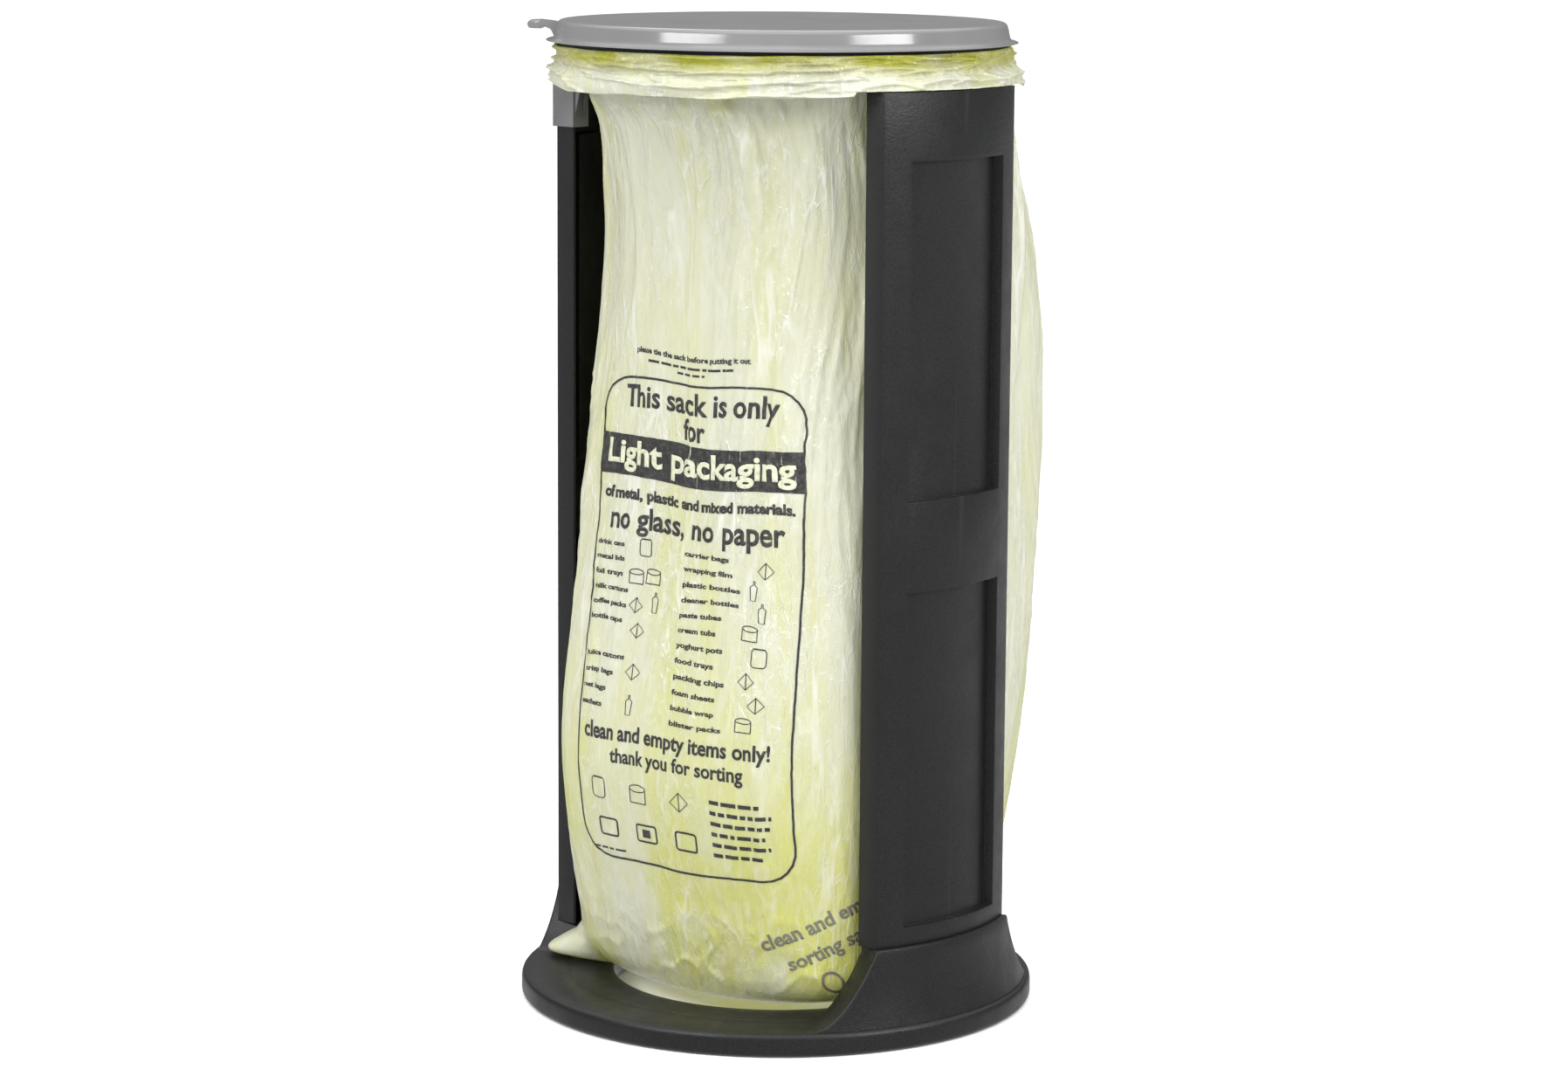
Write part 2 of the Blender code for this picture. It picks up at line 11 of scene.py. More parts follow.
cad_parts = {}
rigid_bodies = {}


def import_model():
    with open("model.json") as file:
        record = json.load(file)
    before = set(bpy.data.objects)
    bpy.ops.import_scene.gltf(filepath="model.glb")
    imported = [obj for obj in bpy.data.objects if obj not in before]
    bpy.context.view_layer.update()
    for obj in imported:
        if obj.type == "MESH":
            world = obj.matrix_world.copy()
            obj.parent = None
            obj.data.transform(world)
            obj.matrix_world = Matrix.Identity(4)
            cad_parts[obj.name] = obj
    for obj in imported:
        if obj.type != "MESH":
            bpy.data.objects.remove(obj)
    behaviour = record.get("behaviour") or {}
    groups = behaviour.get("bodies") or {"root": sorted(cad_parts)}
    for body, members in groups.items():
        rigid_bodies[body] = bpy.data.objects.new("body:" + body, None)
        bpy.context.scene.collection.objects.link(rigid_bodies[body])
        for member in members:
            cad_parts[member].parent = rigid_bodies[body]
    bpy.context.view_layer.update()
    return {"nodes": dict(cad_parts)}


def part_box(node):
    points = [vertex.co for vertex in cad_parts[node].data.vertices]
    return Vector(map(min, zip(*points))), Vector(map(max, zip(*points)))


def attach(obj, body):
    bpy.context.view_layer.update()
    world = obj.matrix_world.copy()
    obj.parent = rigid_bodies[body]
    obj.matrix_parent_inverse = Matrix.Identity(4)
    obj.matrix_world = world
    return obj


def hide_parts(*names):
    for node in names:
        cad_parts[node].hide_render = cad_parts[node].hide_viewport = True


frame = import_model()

# ---- sizes read from the frame
BASE_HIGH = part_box("base")[1]
PANEL_LOW, PANEL_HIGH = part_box("right_panel")
RING_LOW, RING_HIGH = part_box("support_ring")
CLAMP_LOW, CLAMP_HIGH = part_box("clamp_ring")
LID_LOW, LID_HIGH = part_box("lid")
CLIP_LOW, CLIP_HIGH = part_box("ring_clip_front")

BASE_RADIUS = BASE_HIGH.x
SKIRT_TOP = BASE_HIGH.z
PANEL_RADIUS = PANEL_HIGH.x
PANEL_HALF_WIDTH = PANEL_HIGH.y
PANEL_INNER_X = PANEL_LOW.x
RING_RADIUS = RING_HIGH.x
LID_RADIUS = LID_HIGH.x
LID_TOP = LID_HIGH.z

# ---- sizes that the frame's boxes don't give
HOLE_RADIUS = 0.139
PLATE_TOP = 0.0195
PLATE_EDGE_RADIUS = 0.214
WALL = 0.003
FIT_GAP = 0.0003  # between a part and the socket it stands in
PANEL_HALF_ANGLE = math.radians(24.0)
PANEL_BOTTOM = PANEL_LOW.z
EAR_HALF_ANGLE = math.radians(20.4)
EAR_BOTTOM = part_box("left_panel")[0].z
RECESS_HALF_ANGLE = math.radians(16.6)
RECESS_DEPTH = 0.008
RECESS_SPANS = ((0.097, 0.375), (0.449, 0.723))
SKIRT_TOP_RADIUS = 0.2045
SKIRT_FLARE = 0.0088
SKIRT_INNER_RADIUS = 0.1775
SKIRT_SHAPES = {1.0: (PANEL_HALF_ANGLE, math.radians(17.0)),  # half angle and sweep
                -1.0: (math.radians(19.8), math.radians(10.0))}
PLUG_RADII = (0.1966, 0.1812)
RING_INNER_RADIUS = 0.1635
CLAMP_INNER_RADIUS = 0.1575
CLAMP_COLLAR_RADIUS = 0.1605
CLAMP_FLANGE = 0.004
CLIP_WALL = 0.0026
LID_ROUND = 0.0045
TAB_ANGLE = math.radians(-48.0)
TAB_ROOT = 0.188
TAB_REACH = 0.212
TURN_STEPS = 192  # facets round a finely turned piece
BASE_STEPS = 540
PANEL_SOCKET_X = -0.16  # where the left panel's two socket slots end inside
MOULDED_SHARP = 38.0  # degrees between faces that meet in a sharp edge
EAR_COLUMNS, RIM_COLUMNS = 4, 7  # columns of a panel outside its ears' and fields' edges


# ---- mesh helpers
def polar(radius, angle, height):
    """A point at an angle from the front (-Y), turning towards the right (+X)."""
    return Vector((radius * math.sin(angle), -radius * math.cos(angle), height))


def put(name, data):
    """A new object in the scene."""
    made = bpy.data.objects.new(name, data)
    bpy.context.scene.collection.objects.link(made)
    return made


def to_mesh(name, bm):
    mesh = bpy.data.meshes.new(name)
    bm.to_mesh(mesh)
    bm.free()
    return mesh


def sharpen(mesh, degrees):
    mesh.set_sharp_from_angle(angle=math.radians(degrees))


def link(name, bm, sharp_angle=35.0):
    """Turn a bmesh into a smooth-shaded object."""
    bmesh.ops.recalc_face_normals(bm, faces=bm.faces)
    mesh = to_mesh(name, bm)
    mesh.shade_smooth()
    sharpen(mesh, sharp_angle)
    return put(name, mesh)


def bake(made):
    """Apply an object's modifiers."""
    graph = bpy.context.evaluated_depsgraph_get()
    mesh = bpy.data.meshes.new_from_object(made.evaluated_get(graph))
    made.modifiers.clear()
    made.data = mesh
    mesh.name = made.name
    return made


def thicken(made, thickness, offset=0.0, even=False):
    """Give a sheet two sides, on either side of it unless offset says otherwise."""
    wall = made.modifiers.new("wall", "SOLIDIFY")
    wall.thickness = thickness
    wall.offset = offset
    wall.use_even_offset = even
    return bake(made)


def soften(made, width):
    """Round the sharp edges a little, as a mould does."""
    bevel = made.modifiers.new("edges", "BEVEL")
    bevel.width = width
    bevel.segments = 3
    bevel.limit_method = "ANGLE"
    bevel.angle_limit = math.radians(35.0)
    sharpen(bake(made).data, 30.0)


def combine(target, other, operation):
    """Cut a second shape out of the first, or join it on; the second is used up."""
    change = target.modifiers.new("combine", "BOOLEAN")
    change.operation = operation
    change.solver = "EXACT"
    change.object = other
    bake(target)
    bpy.data.objects.remove(other)


def bridge(bm, rings, closed_rows=False):
    """Faces between successive closed rows of points."""
    rows = [[bm.verts.new(point) for point in ring] for ring in rings]
    pairs = list(zip(rows, rows[1:]))
    if closed_rows:
        pairs.append((rows[-1], rows[0]))
    for low, high in pairs:
        for i in range(len(low)):
            j = (i + 1) % len(low)
            bm.faces.new((low[i], low[j], high[j], high[i]))
    return rows


def loft(bm, rings):
    """A solid through rows of points, closed by a face at each end."""
    rows = bridge(bm, rings)
    bm.faces.new(rows[0])
    bm.faces.new(rows[-1])


def upright(bm, outline, bottom, top):
    loft(bm, [[(x, y, z) for x, y in outline] for z in (bottom, top)])


def round_turn(radius, height):
    """Points round the axis, for one point of a turned profile."""
    return [polar(radius, math.tau * i / TURN_STEPS, height) for i in range(TURN_STEPS)]


def turned(name, profile):
    """A ring turned from a closed profile of (radius, height) points."""
    bm = bmesh.new()
    bridge(bm, [round_turn(r, z) for r, z in profile], closed_rows=True)
    return link(name, bm)


def rounded(profile, radius, steps=3):
    """The closed profile with each corner rounded by an arc-like curve."""
    out = []
    for i, point in enumerate(profile):
        here = Vector(point)
        before = Vector(profile[i - 1]) - here
        after = Vector(profile[(i + 1) % len(profile)]) - here
        reach = min(radius, before.length * 0.45, after.length * 0.45)
        start = here + before.normalized() * reach
        end = here + after.normalized() * reach
        for step in range(steps + 1):
            t = step / steps
            out.append(tuple(start * (1 - t) ** 2 + here * 2 * t * (1 - t) + end * t * t))
    return out


# ---- node materials
def shader_nodes(name):
    made = bpy.data.materials.new(name)
    made.use_nodes = True
    tree = made.node_tree
    return made, tree, tree.nodes["Principled BSDF"]


def feed(tree, node, inputs):
    """Link each input to a socket, or set it to a plain value."""
    for key, value in inputs.items():
        if isinstance(value, bpy.types.NodeSocket):
            tree.links.new(value, node.inputs[key])
        else:
            node.inputs[key].default_value = value
    return node


def add_node(tree, kind, inputs=None, **settings):
    node = tree.nodes.new("ShaderNode" + kind)
    for key, value in settings.items():
        setattr(node, key, value)
    return feed(tree, node, inputs or {})


def object_coordinates(tree, stretch=(1.0, 1.0, 1.0)):
    place = add_node(tree, "TexCoord").outputs["Object"]
    return add_node(tree, "Mapping", {"Vector": place, "Scale": stretch}).outputs["Vector"]


def noise_node(tree, vector, scale, detail=3.0, roughness=0.55):
    return add_node(tree, "TexNoise", {
        "Vector": vector, "Scale": scale, "Detail": detail, "Roughness": roughness}).outputs["Fac"]


def remap(tree, value, low, high, to_low=0.0, to_high=1.0):
    return add_node(tree, "MapRange", {
        "Value": value, "From Min": low, "From Max": high,
        "To Min": to_low, "To Max": to_high}).outputs["Result"]


def arithmetic(tree, operation, *values):
    node = add_node(tree, "Math", dict(enumerate(values)), operation=operation)
    return node.outputs[0]


def off_middle(tree, wave):
    """How far a noise is from its middle value, 0 along the lines where it crosses it."""
    return arithmetic(tree, "ABSOLUTE", arithmetic(tree, "SUBTRACT", wave, 0.5))


def blend_colour(tree, share, first, second, mode="MIX"):
    return add_node(tree, "Mix", {0: share, 6: first, 7: second},
                    data_type="RGBA", blend_type=mode).outputs[2]


def bump(tree, height, distance, strength, normal=None):
    inputs = {"Height": height, "Distance": distance, "Strength": strength}
    if normal is not None:
        inputs["Normal"] = normal
    return add_node(tree, "Bump", inputs).outputs["Normal"]


def grained_plastic(name, dark, light, roughness, grain=800.0, grain_height=0.0002):
    """Moulded plastic with a fine leather-like grain, faint mottling and a painted highlight that
    lightens its convex edges.
    """
    made, tree, shader = shader_nodes(name)
    place = object_coordinates(tree)
    fine = noise_node(tree, place, grain, 2.0, 0.6)
    speckle = remap(tree, fine, 0.3, 0.7)
    colour = blend_colour(tree, speckle, (*dark, 1), (*light, 1))
    cloud = remap(tree, noise_node(tree, place, 9.0, 4.0), 0.35, 0.65, 0.9, 1.1)
    shade = add_node(tree, "CombineColor", {"Red": cloud, "Green": cloud, "Blue": cloud})
    colour = blend_colour(tree, 1.0, colour, shade.outputs[0], "MULTIPLY")
    # Painted highlight: convex edges, found by pointiness, are lightened towards a brighter copy of
    # the light grain colour.
    edge = add_node(tree, "NewGeometry").outputs["Pointiness"]
    painted_edge_highlight = tuple(min(1, 2.2 * c) for c in light) + (1,)
    gloss = noise_node(tree, place, 40.0, 3.0)
    coarse = bump(tree, noise_node(tree, place, grain * 0.35, 2.0), grain_height * 2.0, 0.5)
    feed(tree, shader, {
        "Base Color": blend_colour(tree, remap(tree, edge, 0.53, 0.6, 0, 0.35), colour, painted_edge_highlight),
        "Roughness": remap(tree, gloss, 0.3, 0.7, roughness - 0.05, roughness + 0.06),
        "Specular IOR Level": 0.34,
        "Normal": bump(tree, fine, grain_height, 0.8, coarse)})
    return made


def lid_plastic(name):
    """Light grey plastic with a satin gloss, a slight flow unevenness and hair scratches."""
    made, tree, shader = shader_nodes(name)
    place = object_coordinates(tree)
    cloud = remap(tree, noise_node(tree, place, 14.0, 4.0), 0.35, 0.65)
    hair = noise_node(tree, object_coordinates(tree, (60.0, 900.0, 60.0)), 1.0, 3.0)
    smudge = noise_node(tree, place, 22.0, 3.0)
    flow = bump(tree, noise_node(tree, place, 35.0, 2.0), 0.0004, 0.35)
    feed(tree, shader, {
        "Base Color": blend_colour(tree, cloud, (0.19, 0.19, 0.194, 1), (0.21, 0.21, 0.214, 1)),
        "Roughness": arithmetic(tree, "ADD", remap(tree, hair, 0.55, 0.75, 0.0, 0.1),
                                remap(tree, smudge, 0.3, 0.7, 0.11, 0.16)),
        "Normal": bump(tree, noise_node(tree, place, 1500.0, 2.0), 0.00002, 0.4, flow)})
    return made


def steel(name):
    made, tree, shader = shader_nodes(name)
    streak = noise_node(tree, object_coordinates(tree, (900.0, 900.0, 300.0)), 1.0, 2.0)
    tint = remap(tree, noise_node(tree, object_coordinates(tree), 300.0), 0.3, 0.7)
    feed(tree, shader, {
        "Base Color": blend_colour(tree, tint, (0.52, 0.52, 0.54, 1), (0.62, 0.61, 0.58, 1)),
        "Roughness": remap(tree, streak, 0.3, 0.7, 0.25, 0.45), "Metallic": 1.0})
    return made


def film_material(name):
    """Thin translucent film: milky where it is smooth, yellow where it lies in folds, with painted
    highlights on its creases and crinkles and partly painted shade on the cuff's top.
    """
    made, tree, shader = shader_nodes(name)

    def rising(stretch, scale, detail, roughness=0.6):
        """Noise drawn out along the height, the more so the smaller the stretch."""
        return noise_node(tree, object_coordinates(tree, (1.0, 1.0, stretch)), scale, detail,
                          roughness)
    height = add_node(tree, "SeparateXYZ", {
        0: add_node(tree, "TexCoord").outputs["Object"]}).outputs["Z"]
    low = remap(tree, height, 0.05, 0.36, 1.0, 0.0)
    # The cuff's top band gets a darker yellow-green: partly the crumpled film's deeper yellow,
    # partly painted shade under the lid's rim.
    cuff = remap(tree, height, 0.789, 0.8)
    patch = remap(tree, rising(0.45, 8.0, 4.0), 0.42, 0.6)
    streak = remap(tree, rising(0.07, 26.0, 3.0), 0.48, 0.62)
    patches = arithmetic(tree, "MULTIPLY", remap(tree, low, 0, 1, 0.12, 0.88), patch)
    folds = arithmetic(tree, "MULTIPLY_ADD", remap(tree, low, 0, 1, 0.26, 0.12), streak, 0.06)
    colour = blend_colour(tree, arithmetic(tree, "ADD", patches, folds),
                          (0.86, 0.865, 0.765, 1), (0.8, 0.81, 0.2, 1))
    crinkle = rising(0.3, 130.0, 4.0)
    # Painted glints: spots of the crinkle noise are lightened towards white.
    colour = blend_colour(tree, remap(tree, crinkle, 0.5, 0.72, 0.0, 0.5), colour,
                          (0.96, 0.96, 0.92, 1))
    # Painted highlights: near-white lines along the creases, of three sizes and broken up here and
    # there.
    creases = 0.0
    for stretch, scale, width, share in ((0.1, 36.0, 0.02, 1.0), (0.3, 70.0, 0.026, 0.75),
                                         (0.8, 120.0, 0.03, 0.5)):
        away = off_middle(tree, rising(stretch, scale, 2.0, 0.5))
        creases = arithmetic(tree, "MAXIMUM", remap(tree, away, 0.0, width, share, 0.0), creases)
    for mask in (remap(tree, rising(0.5, 18.0, 2.0, 0.5), 0.4, 0.58, 0.15, 1.0),
                 remap(tree, low, 0, 1, 1.0, 0.45)):
        creases = arithmetic(tree, "MULTIPLY", creases, mask)
    # The crease lines are painted near white as highlights.
    colour = blend_colour(tree, creases, colour, (1.0, 1.0, 0.97, 1))
    # Partly painted shade: the cuff's top under the lid's rim is darkened to a deep yellow-green,
    # its lower edge broken up by noise.
    painted_shade_breakup = remap(tree, rising(3.0, 22.0, 3.0), 0.36, 0.6, 0.45, 1.0)
    colour = blend_colour(tree, arithmetic(tree, "MULTIPLY", cuff, painted_shade_breakup), colour,
                          (0.62, 0.62, 0.07, 1))
    normal = bump(tree, creases, 0.0011, 0.6, bump(tree, off_middle(tree, crinkle), 0.003, 0.6))
    feed(tree, shader, {"Base Color": colour, "Roughness": 0.15, "Specular IOR Level": 0.95,
                        "Normal": normal})
    glow = add_node(tree, "BsdfTranslucent", {"Color": colour, "Normal": normal})
    clear = add_node(tree, "BsdfTransparent", {"Color": (0.98, 0.98, 0.88, 1)})
    surface = shader
    for share, other in ((0.35, glow), (0.14, clear)):
        surface = add_node(tree, "MixShader", {
            0: share, 1: surface.outputs[0], 2: other.outputs[0]})
    feed(tree, tree.nodes["Material Output"], {"Surface": surface.outputs[0]})
    return made


def print_ink(name, colour):
    """Matt ink, slightly worn in patches of noise."""
    made, tree, shader = shader_nodes(name)
    wear = noise_node(tree, object_coordinates(tree), 260.0, 4.0, 0.7)
    feed(tree, shader, {
        "Base Color": blend_colour(tree, remap(tree, wear, 0.45, 0.75, 0.0, 0.45),
                                   (*colour, 1), (0.16, 0.16, 0.12, 1)),
        "Roughness": 0.42})
    return made


def dress(made, material):
    made.data.materials.clear()
    made.data.materials.append(material)


# ---- base
def skirt_rise(angle):
    """Height of the skirt over the plate at an angle from the front, zero in the gaps."""
    angle = math.remainder(angle, math.tau)
    half_angle, sweep = SKIRT_SHAPES[math.copysign(1.0, angle)]
    off_end = abs(abs(angle) - math.pi / 2.0) - half_angle
    share = min(max(off_end / sweep, 0.0), 1.0)
    return (SKIRT_TOP - PLATE_TOP) * (1.0 - share) ** 1.9


def base_section(angle):
    """One closed half section of the base, always with the same number of points."""
    rise = skirt_rise(angle)
    plate, hole, rim, inner = PLATE_TOP, HOLE_RADIUS, BASE_RADIUS, SKIRT_INNER_RADIUS
    top = plate + rise
    edge = min(0.0016, 0.4 * rise + 0.00005)
    fillet = min(0.003, 0.45 * rise + 0.0001)

    def flare(height):
        drop = (SKIRT_TOP - height) / (SKIRT_TOP - plate)
        return SKIRT_TOP_RADIUS + SKIRT_FLARE * drop * drop
    crest = flare(top)
    points = [(hole, 0.004), (hole, plate - 0.0018), (hole + 0.0005, plate - 0.0006),
              (hole + 0.0018, plate), (0.15, plate), (inner - 0.008, plate),
              (inner - fillet, plate), (inner - fillet * 0.3, plate + fillet * 0.3),
              (inner, plate + fillet), (inner, top - edge),
              (inner + edge * 0.3, top - edge * 0.3), (inner + edge, top),
              (crest - edge, top), (crest - edge * 0.3, top - edge * 0.3)]
    for share in (0.0, 0.15, 0.3, 0.45, 0.6, 0.72, 0.84, 0.93, 1.0):
        height = (top - edge) + (plate - 0.0001 - top + edge) * share
        points.append((flare(height), height))
    points += [(flare(plate) + 0.0003, plate), (PLATE_EDGE_RADIUS + 0.0006, plate - 0.0001),
               (rim - 0.0018, plate - 0.0009), (rim - 0.0008, plate - 0.0022),
               (rim - 0.0002, plate - 0.004), (rim, plate - 0.006), (rim, 0.005),
               (rim - 0.0003, 0.0034), (rim - 0.0012, 0.0018), (rim - 0.003, 0.0006),
               (rim - 0.0055, 0.0), (rim - 0.009, 0.0), (rim - 0.005, 0.005),
               (rim - 0.0065, plate - WALL), (hole + WALL, plate - WALL), (hole + WALL, 0.004)]
    return points


def build_base(material):
    bm = bmesh.new()
    turn = [math.tau * step / BASE_STEPS for step in range(BASE_STEPS)]
    bridge(bm, [[polar(r, a, z) for r, z in base_section(a)] for a in turn], closed_rows=True)
    base = link("base_moulding", bm, MOULDED_SHARP)
    socket = bmesh.new()
    above = SKIRT_TOP + 0.01
    for side, plug in ((1.0, "right_panel_plug"), (-1.0, "left_panel_plug")):
        low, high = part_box(plug)
        outline = []
        for radius, way in zip(PLUG_RADII, (1, -1)):
            reach = math.asin((high.y + FIT_GAP) / radius)
            turn = [-reach + 2.0 * reach * i / 24 for i in range(25)][::way]
            outline += [(side * radius * math.cos(a), radius * math.sin(a)) for a in turn]
        upright(socket, outline, low.z - FIT_GAP, above)
    radius = PANEL_RADIUS + FIT_GAP
    for side_y in (-1.0, 1.0):
        turns = [EAR_HALF_ANGLE - math.radians(0.6) + math.radians(0.75) * i for i in range(7)]
        outline = [(-radius * math.cos(t), side_y * radius * math.sin(t)) for t in turns]
        outline += [(PANEL_SOCKET_X, outline[-1][1]), (PANEL_SOCKET_X, outline[0][1])]
        upright(socket, outline, EAR_BOTTOM - FIT_GAP, above)
    combine(base, link("socket_cutter", socket), "DIFFERENCE")
    sharpen(base.data, MOULDED_SHARP)
    dress(base, material)
    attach(base, "stand")
    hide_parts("base")


# ---- panels
def build_panel(name, node, side, long_ends, material):
    """A curved shell with returned ends and two sunk fields."""
    bm = bmesh.new()
    edges = (PANEL_HALF_ANGLE, EAR_HALF_ANGLE, RECESS_HALF_ANGLE)
    margin = [a + (b - a) * i / 3 for a, b in zip(edges, edges[1:]) for i in range(3)]
    turns = [-t for t in margin]
    turns += [-RECESS_HALF_ANGLE + 2.0 * RECESS_HALF_ANGLE * i / 28 for i in range(29)]
    turns += margin[::-1]
    arc = [(side * PANEL_RADIUS * math.cos(t), PANEL_RADIUS * math.sin(t)) for t in turns]
    columns = [(side * PANEL_INNER_X, arc[0][1])] + arc + [(side * PANEL_INNER_X, arc[-1][1])]
    sunk = [z for span in RECESS_SPANS for z in span]
    heights = sorted([PANEL_BOTTOM, PANEL_HIGH.z, sunk[0] - 0.0035, sunk[-1] + 0.0035] + sunk)
    if long_ends:
        heights.insert(0, EAR_BOTTOM)
    grid = [[bm.verts.new((x, y, z)) for x, y in columns] for z in heights]
    fields = ([], [])
    last = len(columns) - 1
    for row in range(len(heights) - 1):
        for col in range(last):
            if heights[row] < PANEL_BOTTOM and EAR_COLUMNS <= col < last - EAR_COLUMNS:
                continue
            low, high = grid[row], grid[row + 1]
            corners = (low[col], low[col + 1], high[col + 1], high[col])
            face = bm.faces.new(corners if side > 0 else corners[::-1])
            for field, span in zip(fields, RECESS_SPANS):
                if span[0] <= heights[row] < span[1] and RIM_COLUMNS <= col < last - RIM_COLUMNS:
                    field.append(face)
    bmesh.ops.delete(bm, geom=[v for v in bm.verts if not v.link_faces], context="VERTS")
    for field in fields:
        moved = bmesh.ops.extrude_face_region(bm, geom=field)["geom"]
        bmesh.ops.delete(bm, geom=[f for f in field if f.is_valid], context="FACES")
        for vert in (v for v in moved if isinstance(v, bmesh.types.BMVert)):
            plan = Vector((vert.co.x, vert.co.y, 0.0))
            vert.co -= plan.normalized() * RECESS_DEPTH
    panel = link(name, bm, 30.0)
    outward = sum(f.normal.x * side for f in panel.data.polygons if f.area > 0.0005)
    if outward < 0.0:
        panel.data.flip_normals()
    soften(thicken(panel, WALL, -1.0, True), 0.0009)
    dress(panel, material)
    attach(panel, "stand")
    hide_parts(node)


# ---- rings, clips and lid
def build_rings(grey, dark):
    outer, inner, low, high = RING_RADIUS, RING_INNER_RADIUS, RING_LOW.z, RING_HIGH.z
    channel = turned("ring_channel", rounded([
        (outer, high), (outer, low), (inner, low), (inner, high), (inner + WALL, high),
        (inner + WALL, low + WALL), (outer - WALL, low + WALL), (outer - WALL, high)], 0.0008))
    dress(channel, grey)
    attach(channel, "stand")
    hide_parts("support_ring")
    outer, low, high = CLAMP_HIGH.x, CLAMP_LOW.z, CLAMP_HIGH.z
    clamp = turned("clamp_band", rounded([
        (outer, high), (outer, high - CLAMP_FLANGE), (CLAMP_COLLAR_RADIUS, high - CLAMP_FLANGE),
        (CLAMP_COLLAR_RADIUS, low), (CLAMP_INNER_RADIUS, low), (CLAMP_INNER_RADIUS, high)], 0.0007))
    # The clamp band's dark colour also stands in for the shade in the gap under the lid's rim.
    dress(clamp, dark)
    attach(clamp, "clamp")
    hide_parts("clamp_ring")


def lid_profile():
    """Half section of the lid, from the axis over the top, round the rim and back."""
    wall = 0.0025
    under = LID_TOP - wall - 0.001
    rim = LID_LOW.z + 0.0113
    points = [(0.02, LID_TOP), (0.1, LID_TOP - 0.0001), (0.15, LID_TOP - 0.0004),
              (0.172, LID_TOP - 0.0008), (0.18, LID_TOP - 0.0012)]
    for step in range(9):
        turn = math.pi / 2.0 * step / 8.0 * 0.95
        points.append((0.1825 + LID_ROUND * math.sin(turn),
                       LID_TOP - 0.0058 + LID_ROUND * math.cos(turn)))
    points += [(0.1877, rim + 0.0105), (0.1886, rim + 0.006), (0.1894, rim + 0.0035),
               (0.1906, rim + 0.0021), (0.1926, rim + 0.0013), (0.195, rim + 0.001),
               (LID_RADIUS - 0.0001, rim + 0.0006), (LID_RADIUS, rim + 0.0003),
               (LID_RADIUS - 0.0006, rim), (0.19, rim), (0.1873, rim + 0.0022),
               (0.1845, under - 0.003), (0.1825, under)]
    for radius, low in ((0.1785, CLAMP_HIGH.z + 0.0003), (0.1565, LID_LOW.z)):
        points += [(radius, under), (radius, low + 0.0006), (radius - 0.0006, low),
                   (radius - 0.0024, low), (radius - 0.003, low + 0.0006), (radius - 0.003, under)]
    return points, under


def tab_shape():
    """The grip tab, swelling from the rim, its tip turned down over a thumb hollow."""
    tip, top = TAB_REACH, LID_TOP
    side_view = rounded([
        (0.1845, top - 0.0042), (0.19, top - 0.0032), (tip - 0.003, top - 0.0018),
        (tip - 0.0003, top - 0.0045), (tip - 0.001, top - 0.0085), (tip - 0.0055, top - 0.0088),
        (0.2, top - 0.0068), (0.1925, top - 0.009), (TAB_ROOT, top - 0.0165),
        (0.1865, top - 0.0165)], 0.0022, 4)
    rows = []
    for across in np.linspace(-1.0, 1.0, 17):
        pull = 0.0095 * across ** 4
        row = []
        for radius, height in side_view:
            share = min(max((radius - TAB_ROOT) / (tip - TAB_ROOT), 0.0), 1.0)
            row.append((0.017 * across * (1.0 - 0.18 * share), -(radius - pull * share), height))
        rows.append(row)
    bm = bmesh.new()
    loft(bm, rows)
    bmesh.ops.transform(bm, matrix=Matrix.Rotation(TAB_ANGLE, 4, "Z"), verts=bm.verts)
    return link("tab_shape", bm)


def build_lid(material):
    points, under = lid_profile()
    bm = bmesh.new()
    rows = bridge(bm, [round_turn(r, z) for r, z in points])
    for row, height in ((rows[0], LID_TOP), (rows[-1], under)):
        centre = bm.verts.new((0.0, 0.0, height))
        for i in range(TURN_STEPS):
            bm.faces.new((row[i], row[(i + 1) % TURN_STEPS], centre))
    lid = link("lid_shell", bm)
    combine(lid, tab_shape(), "UNION")
    sharpen(lid.data, MOULDED_SHARP)
    dress(lid, material)
    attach(lid, "lid")
    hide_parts("lid")


def build_clip(name, node, side_y, material):
    """A clip gripping the end of the left panel, with two slanting gussets inside."""
    low, high = CLIP_LOW.z, CLIP_HIGH.z
    end = PANEL_HALF_WIDTH
    outer, inner = PANEL_RADIUS * math.cos(PANEL_HALF_ANGLE), PANEL_INNER_X

    def plan(grow):
        return [(-(outer + 0.0068 + grow), side_y * (end - 0.016)),
                (-(outer + grow), side_y * (end + grow)), (-(inner - grow), side_y * (end + grow)),
                (-(inner - grow), side_y * (end - 0.016))]
    bm = bmesh.new()
    upright(bm, plan(CLIP_WALL) + plan(FIT_GAP)[::-1], low, high)
    clip = link(name, bm)
    face = -(inner - CLIP_WALL)
    corners = ((face - 0.001, low + 0.006), (face - 0.001, high), (face + 0.0088, high))
    for back in (0.0025, 0.0125):
        near = side_y * (end + CLIP_WALL - back)
        gusset = bmesh.new()
        loft(gusset, [[(x, y, z) for x, z in corners] for y in (near, near - side_y * 0.0022)])
        combine(clip, link("gusset_shape", gusset), "UNION")
    soften(clip, 0.0007)
    dress(clip, material)
    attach(clip, "stand")
    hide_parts(node)


# ---- sack
SACK_COLUMNS = 600
SIDE_ROWS = 330
BOTTOM_ROWS = 22
MOUTH_ROWS = 26
CUFF_ROWS = 56
